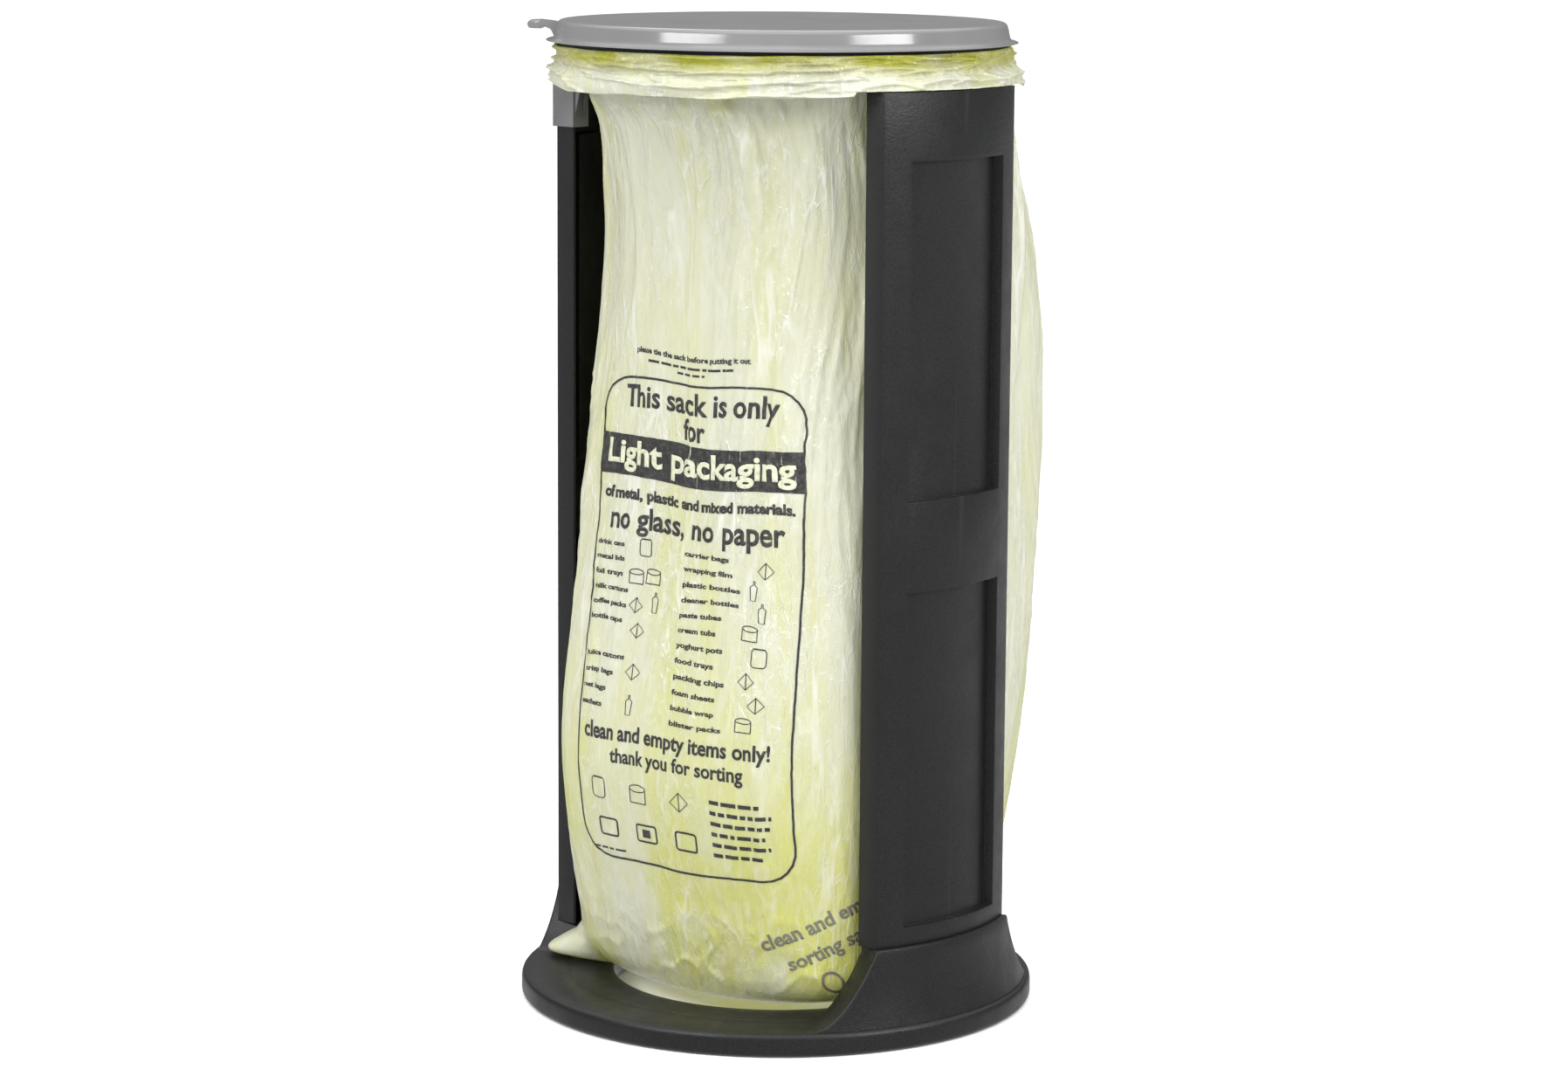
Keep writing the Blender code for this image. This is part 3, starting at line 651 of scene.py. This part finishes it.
# Height, then half width, reach and squareness of the front half and of the rear half.
SACK_STATIONS = (
    (0.0212, 0.118, 0.108, 2.4, 0.128, 0.126, 2.6),
    (0.0226, 0.131, 0.117, 2.4, 0.146, 0.140, 2.8),
    (0.0300, 0.152, 0.127, 2.7, 0.154, 0.152, 2.9),
    (0.0450, 0.161, 0.136, 2.9, 0.160, 0.162, 3.0),
    (0.0700, 0.162, 0.142, 2.9, 0.162, 0.172, 3.0),
    (0.1150, 0.162, 0.151, 3.0, 0.163, 0.182, 3.1),
    (0.1600, 0.163, 0.161, 3.0, 0.164, 0.190, 3.3),
    (0.2070, 0.163, 0.167, 3.0, 0.166, 0.196, 3.5),
    (0.2520, 0.163, 0.165, 3.0, 0.167, 0.200, 3.6),
    (0.3130, 0.162, 0.154, 3.0, 0.168, 0.203, 3.7),
    (0.3730, 0.162, 0.143, 2.9, 0.168, 0.206, 3.8),
    (0.4330, 0.161, 0.135, 2.8, 0.168, 0.210, 3.9),
    (0.4850, 0.160, 0.130, 2.6, 0.168, 0.211, 3.9),
    (0.5510, 0.157, 0.126, 2.4, 0.168, 0.209, 3.8),
    (0.6100, 0.153, 0.123, 2.3, 0.167, 0.200, 3.6),
    (0.6610, 0.152, 0.124, 2.2, 0.166, 0.191, 3.4),
    (0.7050, 0.153, 0.131, 2.1, 0.164, 0.182, 3.1),
    (0.7440, 0.153, 0.140, 2.1, 0.162, 0.175, 2.7),
    (0.7640, 0.1590, 0.1550, 2.0, 0.163, 0.171, 2.2),
    (0.7760, 0.1612, 0.1612, 2.0, 0.1612, 0.1612, 2.0),
)
EDGE_X = 0.1608  # the sack passes between the inner corners of the panels
EDGE_Y = 0.084
SPAN = 0.16  # radius of the cylinder that the folds' noise is laid on
LOBE_ANGLE = math.radians(-59.0)
SKIRT_ROWS = 60  # rows of the film that are low enough to meet the skirts
FILM_THICKNESS = 0.0004
# The cuff outside the ring: radius and height from the ring's top edge down to the hem.
CUFF_PATH = (
    (0.1850, 0.8042), (0.1866, 0.8043), (0.1876, 0.8058), (0.1887, 0.8070), (0.1898, 0.8062),
    (0.1901, 0.8035), (0.1896, 0.8008), (0.1894, 0.7975), (0.1896, 0.7940), (0.1912, 0.7905),
    (0.1936, 0.7875), (0.1950, 0.7840), (0.1952, 0.7805), (0.1944, 0.7775), (0.1934, 0.7755))
MOUTH_PATH = (
    (0.1612, 0.7790), (0.1616, 0.7860), (0.1618, 0.7950), (0.1619, 0.8010), (0.1628, 0.8037),
    (0.1660, 0.8043), (0.1720, 0.8044), (0.1790, 0.8044))


def spline(stations, place):
    """Catmull-Rom through the stations at a place counted in stations."""
    last = len(stations) - 1
    i = min(int(place), last - 1)
    t = place - i
    p0, p1, p2, p3 = (np.array(stations[min(max(i + k, 0), last)]) for k in (-1, 0, 1, 2))
    return 0.5 * (2 * p1 + (p2 - p0) * t + (2 * p0 - 5 * p1 + 4 * p2 - p3) * t * t
                  + (3 * p1 - p0 - 3 * p2 + p3) * t ** 3)


def spread(stations, count, weights):
    """The smooth curve through the stations at equal steps of its weighted length."""
    fine = np.array([spline(stations, q) for q in np.linspace(0.0, len(stations) - 1.0, 900)])
    steps = np.abs(np.diff(fine, axis=0)) @ np.array(weights)
    length = np.concatenate([[0.0], np.cumsum(steps)])
    where = np.linspace(0.0, length[-1], count)
    return np.stack([np.interp(where, length, fine[:, k]) for k in range(fine.shape[1])], -1)


def half_outline(turns, width, reach, square):
    """Radius of a rounded square at each angle from the front."""
    return ((np.abs(np.sin(turns)) / width) ** square
            + (np.abs(np.cos(turns)) / reach) ** square) ** (-1.0 / square)


def unit(value):
    return np.clip(value, 0.0, 1.0)


def hoops(turns, radius, height):
    """Points round the axis at the given turns, with a radius and a height for each row."""
    return np.stack(np.broadcast_arrays(
        radius * np.sin(turns), -radius * np.cos(turns), height), -1)


def bumpy(around, height, scale, rise, seed):
    """Gradient noise on a cylinder: scale across and rise along, in waves per metre."""
    spots = np.broadcast_arrays(SPAN * np.sin(around) * scale, SPAN * np.cos(around) * scale,
                                height * rise + seed)
    flat = [noise.noise(spot) for spot in zip(*(s.ravel() for s in spots))]
    return np.array(flat).reshape(spots[0].shape)


def creased(around, height, scale, rise, seed):
    """Sharp ridges where the noise changes sign, 1 on a ridge and about 0 between."""
    return unit(1.0 - 3.2 * np.abs(bumpy(around, height, scale, rise, seed))) ** 1.5


def sack_folds(around, height):
    """Outward displacement of the film: gathers under the ring, folds and crumples."""
    below = np.maximum(0.0, RING_LOW.z - height)
    low = unit((0.15 - height) / 0.1)
    sway = 0.42 * bumpy(around, height, 4.0, 3.5, 3.1) * unit(below / 0.1)
    drag = around - 2.3 * (height - 0.78)
    uneven = np.clip(0.55 + 1.9 * bumpy(around, height, 10.0, 1.5, 17.3), 0.1, 1.25)
    fine = np.clip(0.5 + 2.2 * bumpy(around, height, 12.0, 4.0, 19.9), 0.05, 1.3)
    patch = np.clip(0.6 + 1.7 * bumpy(around, height, 9.0, 7.0, 61.0), 0.15, 1.0)

    def fade(reach):
        return np.exp(-below / reach)
    folds = 0.005 * bumpy(around, height, 8.0, 3.0, 55.2) - 0.0036
    # Height of the creases, the way they run, waves across and up, seed, and where they show.
    for size, way, across, rise, seed, mask in (
            (0.0072, around + sway, 20.0, 0.9, 11.7, uneven * fade(0.24)),
            (0.0036, around + sway, 44.0, 1.8, 27.3, fine * fade(0.22)),
            (0.0021, around + 0.7 * sway, 90.0, 6.0, 33.3, fine * fade(0.3)),
            (0.005, drag, 9.0, 0.6, 151.0, uneven * fade(0.4)),
            (0.0024, drag + sway, 24.0, 1.5, 161.0, fine * fade(0.5)),
            (0.0056, around + 1.6 * sway, 11.0, 1.3, 41.9, fade(0.55)),
            (0.0022, around + sway, 26.0, 2.5, 73.4, patch),
            (0.0011, around + 0.6 * sway, 60.0, 7.0, 87.6, patch),
            (0.0007, around, 130.0, 36.0, 93.8, patch),
            (0.0018, around, 34.0, 34.0, 101.5, patch * low)):
        folds += size * creased(way, height, across, rise, seed) * mask
    return unit(below / 0.02) * folds


def side_rows(turns):
    """Heights and radii of the film from the edge of the bottom up to the ring, uncreased."""
    rear = unit(0.5 - np.cos(turns) / 0.6)
    rear = rear * rear * (3.0 - 2.0 * rear)
    lobe = np.exp(-np.abs((turns - LOBE_ANGLE) / math.radians(10.0)) ** 2.6)
    rows = spread(SACK_STATIONS, SIDE_ROWS, (1.0, 0.15, 0.5, 0.0, 0.15, 0.5, 0.0))
    height, *shape = rows.T[:, :, None]
    flap = 0.06 * np.interp(height, (0.0205, 0.024, 0.033, 0.042, 0.052),
                             (0.9, 1.0, 0.55, 0.16, 0.0))
    radius = (1.0 - rear) * half_outline(turns, *shape[:3])
    radius += rear * half_outline(turns, *shape[3:])
    return rows[:, 0], radius + flap * lobe


def clear_of_stand(points):
    """Keep the film between the panels, inside the clips and above the base."""
    x, y, z = np.moveaxis(points, -1, 0)
    limit = EDGE_X + 1.6 * np.maximum(0.0, np.abs(y) - EDGE_Y)
    near_clips = (x < 0.0) & (z > 0.73) & (np.abs(y) < 0.09)
    limit = np.where(near_clips, np.minimum(limit, 0.1495), limit)
    x[:] = np.sign(x) * np.minimum(np.abs(x), limit)
    radius = np.hypot(x, y)
    floor = np.where(radius > HOLE_RADIUS - 0.006, PLATE_TOP + 0.0011, 0.0)
    low = slice(0, SKIRT_ROWS)
    over_skirt = np.vectorize(skirt_rise)(np.arctan2(x[low], -y[low])) + PLATE_TOP + 0.0012
    outside = radius[low] > SKIRT_INNER_RADIUS - 0.002
    floor[low] = np.where(outside, np.maximum(floor[low], over_skirt), floor[low])
    z[:] = np.maximum(z, floor)
    return points


def sack_grid(turns):
    """Rows of points over the bottom and up the side, and the side rows' plain heights."""
    heights, radii = side_rows(turns)
    inward = radii[0] * np.linspace(0.05, 0.97, BOTTOM_ROWS)[:, None]
    sag = 0.0042 * (1.0 - unit(inward / 0.126) ** 2)
    wrinkle = 0.0012 * bumpy(turns * 2.0, inward, 12.0, 60.0, 7.7)
    bottom = hoops(turns, inward, heights[0] - 0.0003 - sag + wrinkle)
    tall = heights[:, None]
    settle = unit((tall - heights[0]) / 0.03)
    radii = radii + settle * sack_folds(turns, tall)
    drift = 0.0035 * bumpy(turns, tall, 14.0, 16.0, 201.0) * settle * unit((0.74 - tall) / 0.1)
    side = hoops(turns, radii, tall + drift)
    return clear_of_stand(np.concatenate([bottom, side])), heights


def cuff_rows(turns):
    """The film up inside the ring, over it and down outside to a wavy hem."""
    mouth = hoops(turns, *spread(MOUTH_PATH, MOUTH_ROWS, (1.0, 1.0)).T[:, :, None])
    path, tall = spread(CUFF_PATH, CUFF_ROWS, (1.0, 1.0)).T[:, :, None]
    down = np.linspace(0.0, 1.0, CUFF_ROWS)[:, None]
    loose = unit(down / 0.3)
    tilt = tall + 0.004 * bumpy(turns, 0.0, 12.0, 0.0, 295.0)
    swell = 0.0036 * bumpy(turns, tilt, 9.0, 30.0, 301.0) - 0.003
    for size, across, rise, seed in ((0.0052, 10.0, 85.0, 311.0), (0.0026, 26.0, 150.0, 331.0),
                                     (0.0014, 90.0, 130.0, 341.0)):
        swell += size * creased(turns, tilt, across, rise, seed)
    lean = 0.0052 * np.cos(turns - math.radians(132.0)) * down
    slack = np.where(tall > 0.804, 0.0005, 0.0022)
    radius = np.maximum(path + loose * swell + lean, np.maximum(0.185, path - slack))
    front = (math.radians(46.0) - np.abs(turns - math.radians(6.0))) / math.radians(16.0)
    dip = -0.0028 * unit(front) + 0.0016 * bumpy(turns, 0.0, 16.0, 0.0, 351.0)
    crumple = 0.001 * bumpy(turns, tall, 40.0, 40.0, 371.0)
    z = tall + down * np.maximum(dip, -0.0042) + loose * crumple
    over_panel = np.abs(np.abs(turns) - math.pi / 2.0) < math.radians(31.0)
    z = np.where(over_panel, np.maximum(z, PANEL_HIGH.z + 0.0012), z)
    z = np.minimum(z, np.where(radius > 0.187, 0.808, 0.8046))  # stays below the clamp ring
    return np.concatenate([mouth, hoops(turns, radius, z)])


def skin(grid, name):
    """A thin closed shell on a grid of points whose first row closes on a centre point."""
    rows, columns = grid.shape[:2]
    hub = rows * columns
    points = np.concatenate([grid.reshape(-1, 3), grid[0].mean(0)[None]])
    index = np.arange(hub).reshape(rows, columns)
    ahead = np.roll(index, -1, 1)
    quads = np.stack([index[:-1], ahead[:-1], ahead[1:], index[1:]], -1).reshape(-1, 4)
    fan = [(hub, b, a) for a, b in zip(index[0].tolist(), ahead[0].tolist())]
    mesh = bpy.data.meshes.new(name)
    mesh.from_pydata(points.tolist(), [], quads.tolist() + fan)
    mesh.shade_smooth()
    return thicken(put(name, mesh), FILM_THICKNESS)


def build_sack(film, ink, pale_ink, faint_ink):
    turns = np.linspace(-math.pi, math.pi, SACK_COLUMNS, endpoint=False)
    grid, heights = sack_grid(turns)
    sack = skin(np.concatenate([grid, cuff_rows(turns)]), "sack_film")
    dress(sack, film)
    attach(sack, "stand")
    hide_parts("sack")
    surface = Surface(turns, grid[-len(heights):], heights)
    dark, pale, faint = print_shapes()
    for name, shapes, material, lift in (("print_dark", dark, ink, 0.00045),
                                         ("print_pale", pale, pale_ink, 0.00085),
                                         ("print_faint", faint, faint_ink, 0.00045)):
        lay = lay_on(surface, shapes, name, lift)
        dress(lay, material)
        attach(lay, "stand")


# ---- print on the sack
PRINT_MIDDLE = math.radians(7.0)
PRINT_LEAN = 0.022  # the print leans to the right by this much for each metre down
PRINT_TOP = 0.54
PRINT_STRETCH = 0.97  # share of the film's length across that the creases leave
PRINT_STEP = 0.002  # the flat shapes are cut this fine before they are laid on
INK_THICKNESS = 0.0001
CAPITAL = 0.69  # height of a capital letter in a font of size 1


class Surface:
    """The creased film as a map from (distance across, height) to a point and a normal."""

    def __init__(self, turns, grid, heights):
        self.grid = grid
        self.heights = heights
        steps = np.linalg.norm(np.diff(grid[..., :2], axis=1), axis=-1)
        run = np.concatenate([np.zeros((len(grid), 1)), np.cumsum(steps, axis=1)], axis=1)
        self.across = run * PRINT_STRETCH
        columns = np.arange(len(turns))
        middle = np.interp(PRINT_MIDDLE, turns, columns)
        for row in self.across:
            row -= np.interp(middle, columns, row)
        normal = np.cross(np.roll(grid, -1, 1) - np.roll(grid, 1, 1), np.gradient(grid, axis=0))
        self.normals = normal / np.maximum(np.linalg.norm(normal, axis=-1, keepdims=True), 1e-12)

    def place(self, across, height, lift):
        """The film's point at a distance across and a height, moved out along its normal."""
        row = np.interp(height, self.heights, np.arange(len(self.heights)))
        low = min(int(row), len(self.heights) - 2)
        part = row - low
        run = (1 - part) * self.across[low] + part * self.across[low + 1]
        col = np.interp(across, run, np.arange(len(run)))
        left = min(int(col), len(run) - 2)
        side = col - left
        share = np.outer((1 - part, part), (1 - side, side))[..., None]
        cell = (slice(low, low + 2), slice(left, left + 2))
        return (share * (self.grid[cell] + lift * self.normals[cell])).sum(axis=(0, 1))


def flat_face(bm, points):
    bm.faces.new([bm.verts.new((x, y, 0.0)) for x, y in points])


def bar(bm, x, y, wide, tall):
    """A bar of print with its lower left corner at x, y."""
    flat_face(bm, ((x, y), (x + wide, y), (x + wide, y + tall), (x, y + tall)))


def loop(bm, points, width):
    """An outlined shape: a band of the given width inside a closed run of points."""
    count = len(points)
    centre = Vector((sum(p[0] for p in points) / count, sum(p[1] for p in points) / count))
    inner = []
    for i in range(count):
        here = Vector(points[i])
        run = (Vector(points[(i + 1) % count]) - Vector(points[i - 1])).normalized()
        side = Vector((-run.y, run.x))
        if side.dot(centre - here) < 0.0:
            side = -side
        inner.append(here + side * width)
    for i in range(count):
        j = (i + 1) % count
        flat_face(bm, (points[i], points[j], tuple(inner[j]), tuple(inner[i])))


def round_box(x, y, wide, tall, radius, steps=6):
    """Points round a box with rounded corners, its middle at x, y."""
    points = []
    for turn, sx, sy in ((0.0, 1, 1), (0.25, -1, 1), (0.5, -1, -1), (0.75, 1, -1)):
        for step in range(steps + 1):
            angle = math.tau * (turn + 0.25 * step / steps)
            points.append((x + sx * (wide / 2.0 - radius) + radius * math.cos(angle),
                           y + sy * (tall / 2.0 - radius) + radius * math.sin(angle)))
    return points


def words(bm, text, x, y, tall, wide, weight=0.0, turn=0.0):
    """A line of plain lettering: middle of its baseline, height of a capital, full width."""
    curve = bpy.data.curves.new("words", "FONT")
    curve.body = text
    curve.size = tall / CAPITAL
    curve.align_x = "CENTER"
    curve.offset = weight
    curve.resolution_u = 3
    made = put("words", curve)
    graph = bpy.context.evaluated_depsgraph_get()
    mesh = bpy.data.meshes.new_from_object(made.evaluated_get(graph))
    across = [v.co.x for v in mesh.vertices]
    stretch = wide / (max(across) - min(across))
    mesh.transform(Matrix.Translation((x, y, 0.0)) @ Matrix.Rotation(turn, 4, "Z")
                   @ Matrix.Diagonal((stretch, 1.0, 1.0, 1.0)))
    bm.from_mesh(mesh)
    bpy.data.objects.remove(made)
    bpy.data.curves.remove(curve)
    bpy.data.meshes.remove(mesh)


def entries(bm, lines, x, y, pitch, spacing, tall=0.004):
    """A list in small lettering, each line starting at x, the first baseline at y."""
    for i, line in enumerate(lines):
        wide = spacing * tall * len(line)
        words(bm, line, x + wide / 2.0, y - i * pitch, tall, wide, 0.0002)


def small_lines(bm, chance, x, y, count, pitch, longest, tall):
    """Lines of bars that stand for small print."""
    for line in range(count):
        start = x
        end = x + longest * (0.62 + 0.38 * chance.random())
        while start < end - 0.002:
            wide = min(0.004 + 0.009 * chance.random(), end - start)
            bar(bm, start, y - line * pitch, wide, tall)
            start += wide + 0.0022


# Household shapes of size 1: the outline, upright bars as x, foot and height, and level bars as
# left end, foot, width and thickness in line widths.
SYMBOLS = {
    "jar": (round_box(0.0, 0.0, 0.8, 0.9, 0.2, 3), (), ((-0.3, 0.38, 0.6, 1.4),)),
    "can": ([(0.45 * math.cos(t), 0.22 + 0.16 * math.sin(t))
             for t in np.linspace(0.0, math.tau, 16, endpoint=False)],
            ((-0.42, -0.35, 0.55), (0.42, -0.35, 0.55)), ((-0.42, -0.37, 0.84, 1.0),)),
    "box": ([(-0.45, -0.1), (0.0, -0.45), (0.45, -0.05), (0.0, 0.35)], ((0.0, -0.42, 0.74),), ()),
    "tube": ([(-0.16, -0.5), (0.16, -0.5), (0.22, 0.2), (0.06, 0.32), (0.06, 0.5), (-0.06, 0.5),
              (-0.06, 0.32), (-0.22, 0.2)], (), ()),
}
SYMBOL_LINE = 0.0008


def symbol(bm, kind, x, y, size):
    """A small outlined household shape beside the lists."""
    outline, uprights, levels = SYMBOLS[kind]
    loop(bm, [(x + size * u, y + size * v) for u, v in outline], SYMBOL_LINE)
    for u, v, tall in uprights:
        bar(bm, x + size * u - SYMBOL_LINE / 2.0, y + size * v, SYMBOL_LINE, size * tall)
    for u, v, wide, lines in levels:
        bar(bm, x + size * u, y + size * v, size * wide, SYMBOL_LINE * lines)


def print_shapes():
    """The flat print, in metres: x across the film, y its height on the sack."""
    chance = np.random.default_rng(7)
    dark, pale, faint = bmesh.new(), bmesh.new(), bmesh.new()
    words(dark, "please tie the sack before putting it out", 0.0, 0.556, 0.0044, 0.122, 0.0002)
    small_lines(dark, chance, -0.046, 0.5492, 1, 0.01, 0.104, 0.002)
    small_lines(dark, chance, -0.014, 0.544, 1, 0.01, 0.036, 0.0018)
    loop(dark, round_box(0.004, 0.336, 0.216, 0.402, 0.032), 0.0019)
    words(dark, "This sack is only", 0.006, 0.512, 0.018, 0.162, 0.0006)
    words(dark, "for", 0.004, 0.4905, 0.017, 0.023, 0.0006)
    bar(dark, -0.104, 0.4525, 0.216, 0.0335)
    words(pale, "Light packaging", 0.004, 0.462, 0.019, 0.198, 0.0008)
    words(dark, "of metal, plastic and mixed materials.", 0.004, 0.435, 0.0082, 0.2, 0.0005)
    words(dark, "no glass, no paper", 0.004, 0.411, 0.0175, 0.182, 0.0006)
    entries(dark, ("drink cans", "metal lids", "foil trays", "milk cartons", "coffee packs",
                   "bottle caps"), -0.099, 0.396, 0.0125, 0.82)
    for x, y, kind in ((-0.044, 0.396, "jar"), (-0.052, 0.372, "can"), (-0.034, 0.374, "can"),
                       (-0.05, 0.35, "box"), (-0.03, 0.354, "tube"), (-0.046, 0.33, "box")):
        symbol(dark, kind, x, y, 0.0165)
    entries(dark, ("juice cartons", "crisp bags", "net bags", "sachets"),
            -0.099, 0.304, 0.0135, 0.82)
    symbol(dark, "box", -0.046, 0.296, 0.0175)
    symbol(dark, "tube", -0.046, 0.268, 0.0165)
    entries(dark, ("carrier bags", "wrapping film", "plastic bottles", "cleaner bottles",
                   "paste tubes", "cream tubs", "yoghurt pots", "food trays", "packing chips",
                   "foam sheets", "bubble wrap", "blister packs"), -0.001, 0.396, 0.0125, 0.98)
    for i, kind in enumerate(("box", "tube", "tube", "can", "jar", "box", "box", "can")):
        symbol(dark, kind, 0.08 - 0.01 * (i % 2), 0.393 - 0.018 * i, 0.017)
    words(dark, "clean and empty items only!", 0.0, 0.238, 0.013, 0.188, 0.0005)
    words(dark, "thank you for sorting", 0.004, 0.219, 0.012, 0.134, 0.0004)
    for i, kind in enumerate(("jar", "can", "box")):
        symbol(dark, kind, -0.078 + 0.044 * i, 0.195, 0.021)
        loop(dark, round_box(-0.07 + 0.042 * i, 0.162, 0.022, 0.016, 0.003, 3), 0.0016)
    bar(dark, -0.032, 0.1585, 0.008, 0.007)
    small_lines(dark, chance, 0.04, 0.198, 6, 0.0088, 0.054, 0.0032)
    small_lines(dark, chance, -0.092, 0.142, 1, 0.008, 0.06, 0.0016)
    tilt = math.radians(22.0)
    words(faint, "clean and empty", 0.128, 0.096, 0.0125, 0.115, 0.0005, tilt)
    words(faint, "sorting sack", 0.134, 0.074, 0.0115, 0.086, 0.0004, tilt)
    loop(faint, round_box(0.128, 0.048, 0.02, 0.02, 0.0099, 4), 0.0026)
    return dark, pale, faint


def lay_on(surface, bm, name, lift):
    """Cut flat shapes into small faces, lay them on the film and give them thickness."""
    bmesh.ops.triangulate(bm, faces=bm.faces)
    low = [min(v.co[k] for v in bm.verts) for k in (0, 1)]
    high = [max(v.co[k] for v in bm.verts) for k in (0, 1)]
    for axis, direction in enumerate((Vector((1.0, 0.0, 0.0)), Vector((0.0, 1.0, 0.0)))):
        for cut_at in np.arange(low[axis] + PRINT_STEP, high[axis], PRINT_STEP):
            bmesh.ops.bisect_plane(bm, geom=bm.verts[:] + bm.edges[:] + bm.faces[:], dist=1e-7,
                                   plane_co=direction * float(cut_at), plane_no=direction)
    bmesh.ops.remove_doubles(bm, verts=bm.verts, dist=1e-6)
    bmesh.ops.recalc_face_normals(bm, faces=bm.faces)
    for vert in bm.verts:
        lean = PRINT_LEAN * (PRINT_TOP - vert.co.y)
        vert.co = surface.place(vert.co.x + lean, vert.co.y, lift)
    return thicken(put(name, to_mesh(name, bm)), INK_THICKNESS)


# ---- carried-over CAD nodes
def dress_cad_nodes(dark, rubber, screws):
    for name, node in frame["nodes"].items():
        if "screw" in name:
            dress(node, screws)
        elif name.startswith("rubber"):
            dress(node, rubber)
        elif "plug" in name or "bracket" in name:
            dress(node, dark)


# ---- stage
FLOOR_HALF_SIZE = 90.0
# Softboxes: name, degrees round from the front, distance, height, width, depth and power.
SOFTBOXES = (("left_box", -4.0, 2.5, 1.62, 1.45, 0.56, 36.0),
             ("right_box", 94.0, 2.5, 1.62, 1.45, 0.56, 40.0),
             ("back_box", 225.0, 2.0, 2.9, 1.6, 1.2, 15.0),
             ("top_box", 20.0, 1.2, 3.2, 2.4, 2.4, 22.0))


def area_light(name, place, target, size_x, size_y, power):
    data = bpy.data.lights.new(name, "AREA")
    data.shape = "RECTANGLE"
    data.size, data.size_y = size_x, size_y
    data.energy = power
    made = put(name, data)
    made.location = place
    made.rotation_euler = (Vector(target) - Vector(place)).to_track_quat("-Z", "Y").to_euler()


def studio_light(tree):
    """A bright ceiling, dimmer walls that are darkest behind the stand, a soft fill below."""
    def mix(share, first, second):
        return add_node(tree, "Mix", {"Factor": share, 2: first, 3: second},
                        data_type="FLOAT").outputs[0]
    way = add_node(tree, "TexCoord").outputs["Generated"]
    up = add_node(tree, "SeparateXYZ", {0: way}).outputs["Z"]
    bright_side = tuple(polar(1.0, math.radians(50.0), 0.0))
    facing = add_node(tree, "VectorMath", {0: way, 1: bright_side},
                      operation="DOT_PRODUCT").outputs["Value"]
    walls = remap(tree, facing, -0.3, 1.0, 0.22, 0.46)
    strength = mix(remap(tree, up, -0.1, 0.0), 0.84, walls)
    strength = mix(remap(tree, up, 0.42, 0.72), strength, 1.68)
    feed(tree, tree.nodes["Background"], {"Color": (1.0, 1.0, 1.0, 1.0), "Strength": strength})


def build_stage():
    world = bpy.data.worlds.new("studio")
    bpy.context.scene.world = world
    world.use_nodes = True
    studio_light(world.node_tree)
    bm = bmesh.new()
    bmesh.ops.create_grid(bm, x_segments=1, y_segments=1, size=FLOOR_HALF_SIZE)
    floor = link("floor", bm)
    made, tree, shader = shader_nodes("pale_floor")
    feed(tree, shader, {"Base Color": (0.97, 0.97, 0.97, 1.0), "Roughness": 0.9})
    dress(floor, made)
    floor.visible_diffuse = False
    floor.visible_glossy = False
    aim = (0.0, 0.0, 0.55)
    for name, azimuth, distance, height, wide, deep, power in SOFTBOXES:
        area_light(name, polar(distance, math.radians(azimuth), height), aim, wide, deep, power)


def build_camera():
    """The view: 42 degrees round from the front towards the right, 9.3 degrees down."""
    azimuth, distance, height = math.radians(42.0), 3.589, 0.979
    pitch, yaw, roll = math.radians(9.29), math.radians(-0.069), math.radians(0.405)
    focal_pixels, width_pixels, sensor = 4925.8, 1796.0, 36.0
    data = bpy.data.cameras.new("view")
    data.sensor_width = sensor
    data.lens = focal_pixels * sensor / width_pixels
    camera = put("view", data)
    camera.matrix_world = (Matrix.Translation(polar(distance, azimuth, height))
                           @ Matrix.Rotation(azimuth + yaw, 4, "Z")
                           @ Matrix.Rotation(math.pi / 2.0 - pitch, 4, "X")
                           @ Matrix.Rotation(roll, 4, "Z"))
    bpy.context.scene.camera = camera


def main():
    for old in [o for o in bpy.data.objects if o.name in ("Cube", "Light", "Camera")]:
        bpy.data.objects.remove(old)
    bpy.context.scene.view_settings.view_transform = "Standard"
    dark = grained_plastic("dark_plastic_look", (0.003, 0.0032, 0.0032), (0.015, 0.0155, 0.0155),
                           0.4)
    grey = grained_plastic("grey_plastic_look", (0.1, 0.102, 0.104), (0.13, 0.132, 0.134), 0.42)
    # Dark clamp colour, partly painted shade for the gap under the lid's rim.
    band = grained_plastic("clamp_dark_and_painted_shade_look", (0.022, 0.027, 0.034), (0.03, 0.036, 0.044), 0.45,
                           700.0, 0.00005)
    rubber = grained_plastic("rubber_look", (0.014, 0.014, 0.014), (0.022, 0.022, 0.022), 0.8,
                             900.0, 0.0001)
    build_camera()
    build_stage()
    build_base(dark)
    build_panel("right_panel_shell", "right_panel", 1.0, False, dark)
    build_panel("left_panel_shell", "left_panel", -1.0, True, dark)
    build_rings(grey, band)
    build_clip("front_clip", "ring_clip_front", -1.0, grey)
    build_clip("rear_clip", "ring_clip_rear", 1.0, grey)
    build_lid(lid_plastic("lid_look"))
    build_sack(film_material("film_look"), print_ink("ink_look", (0.02, 0.02, 0.022)),
               print_ink("pale_look", (0.7, 0.71, 0.52)),
               print_ink("faint_look", (0.2, 0.2, 0.15)))
    dress_cad_nodes(dark, rubber, steel("steel_look"))


main()
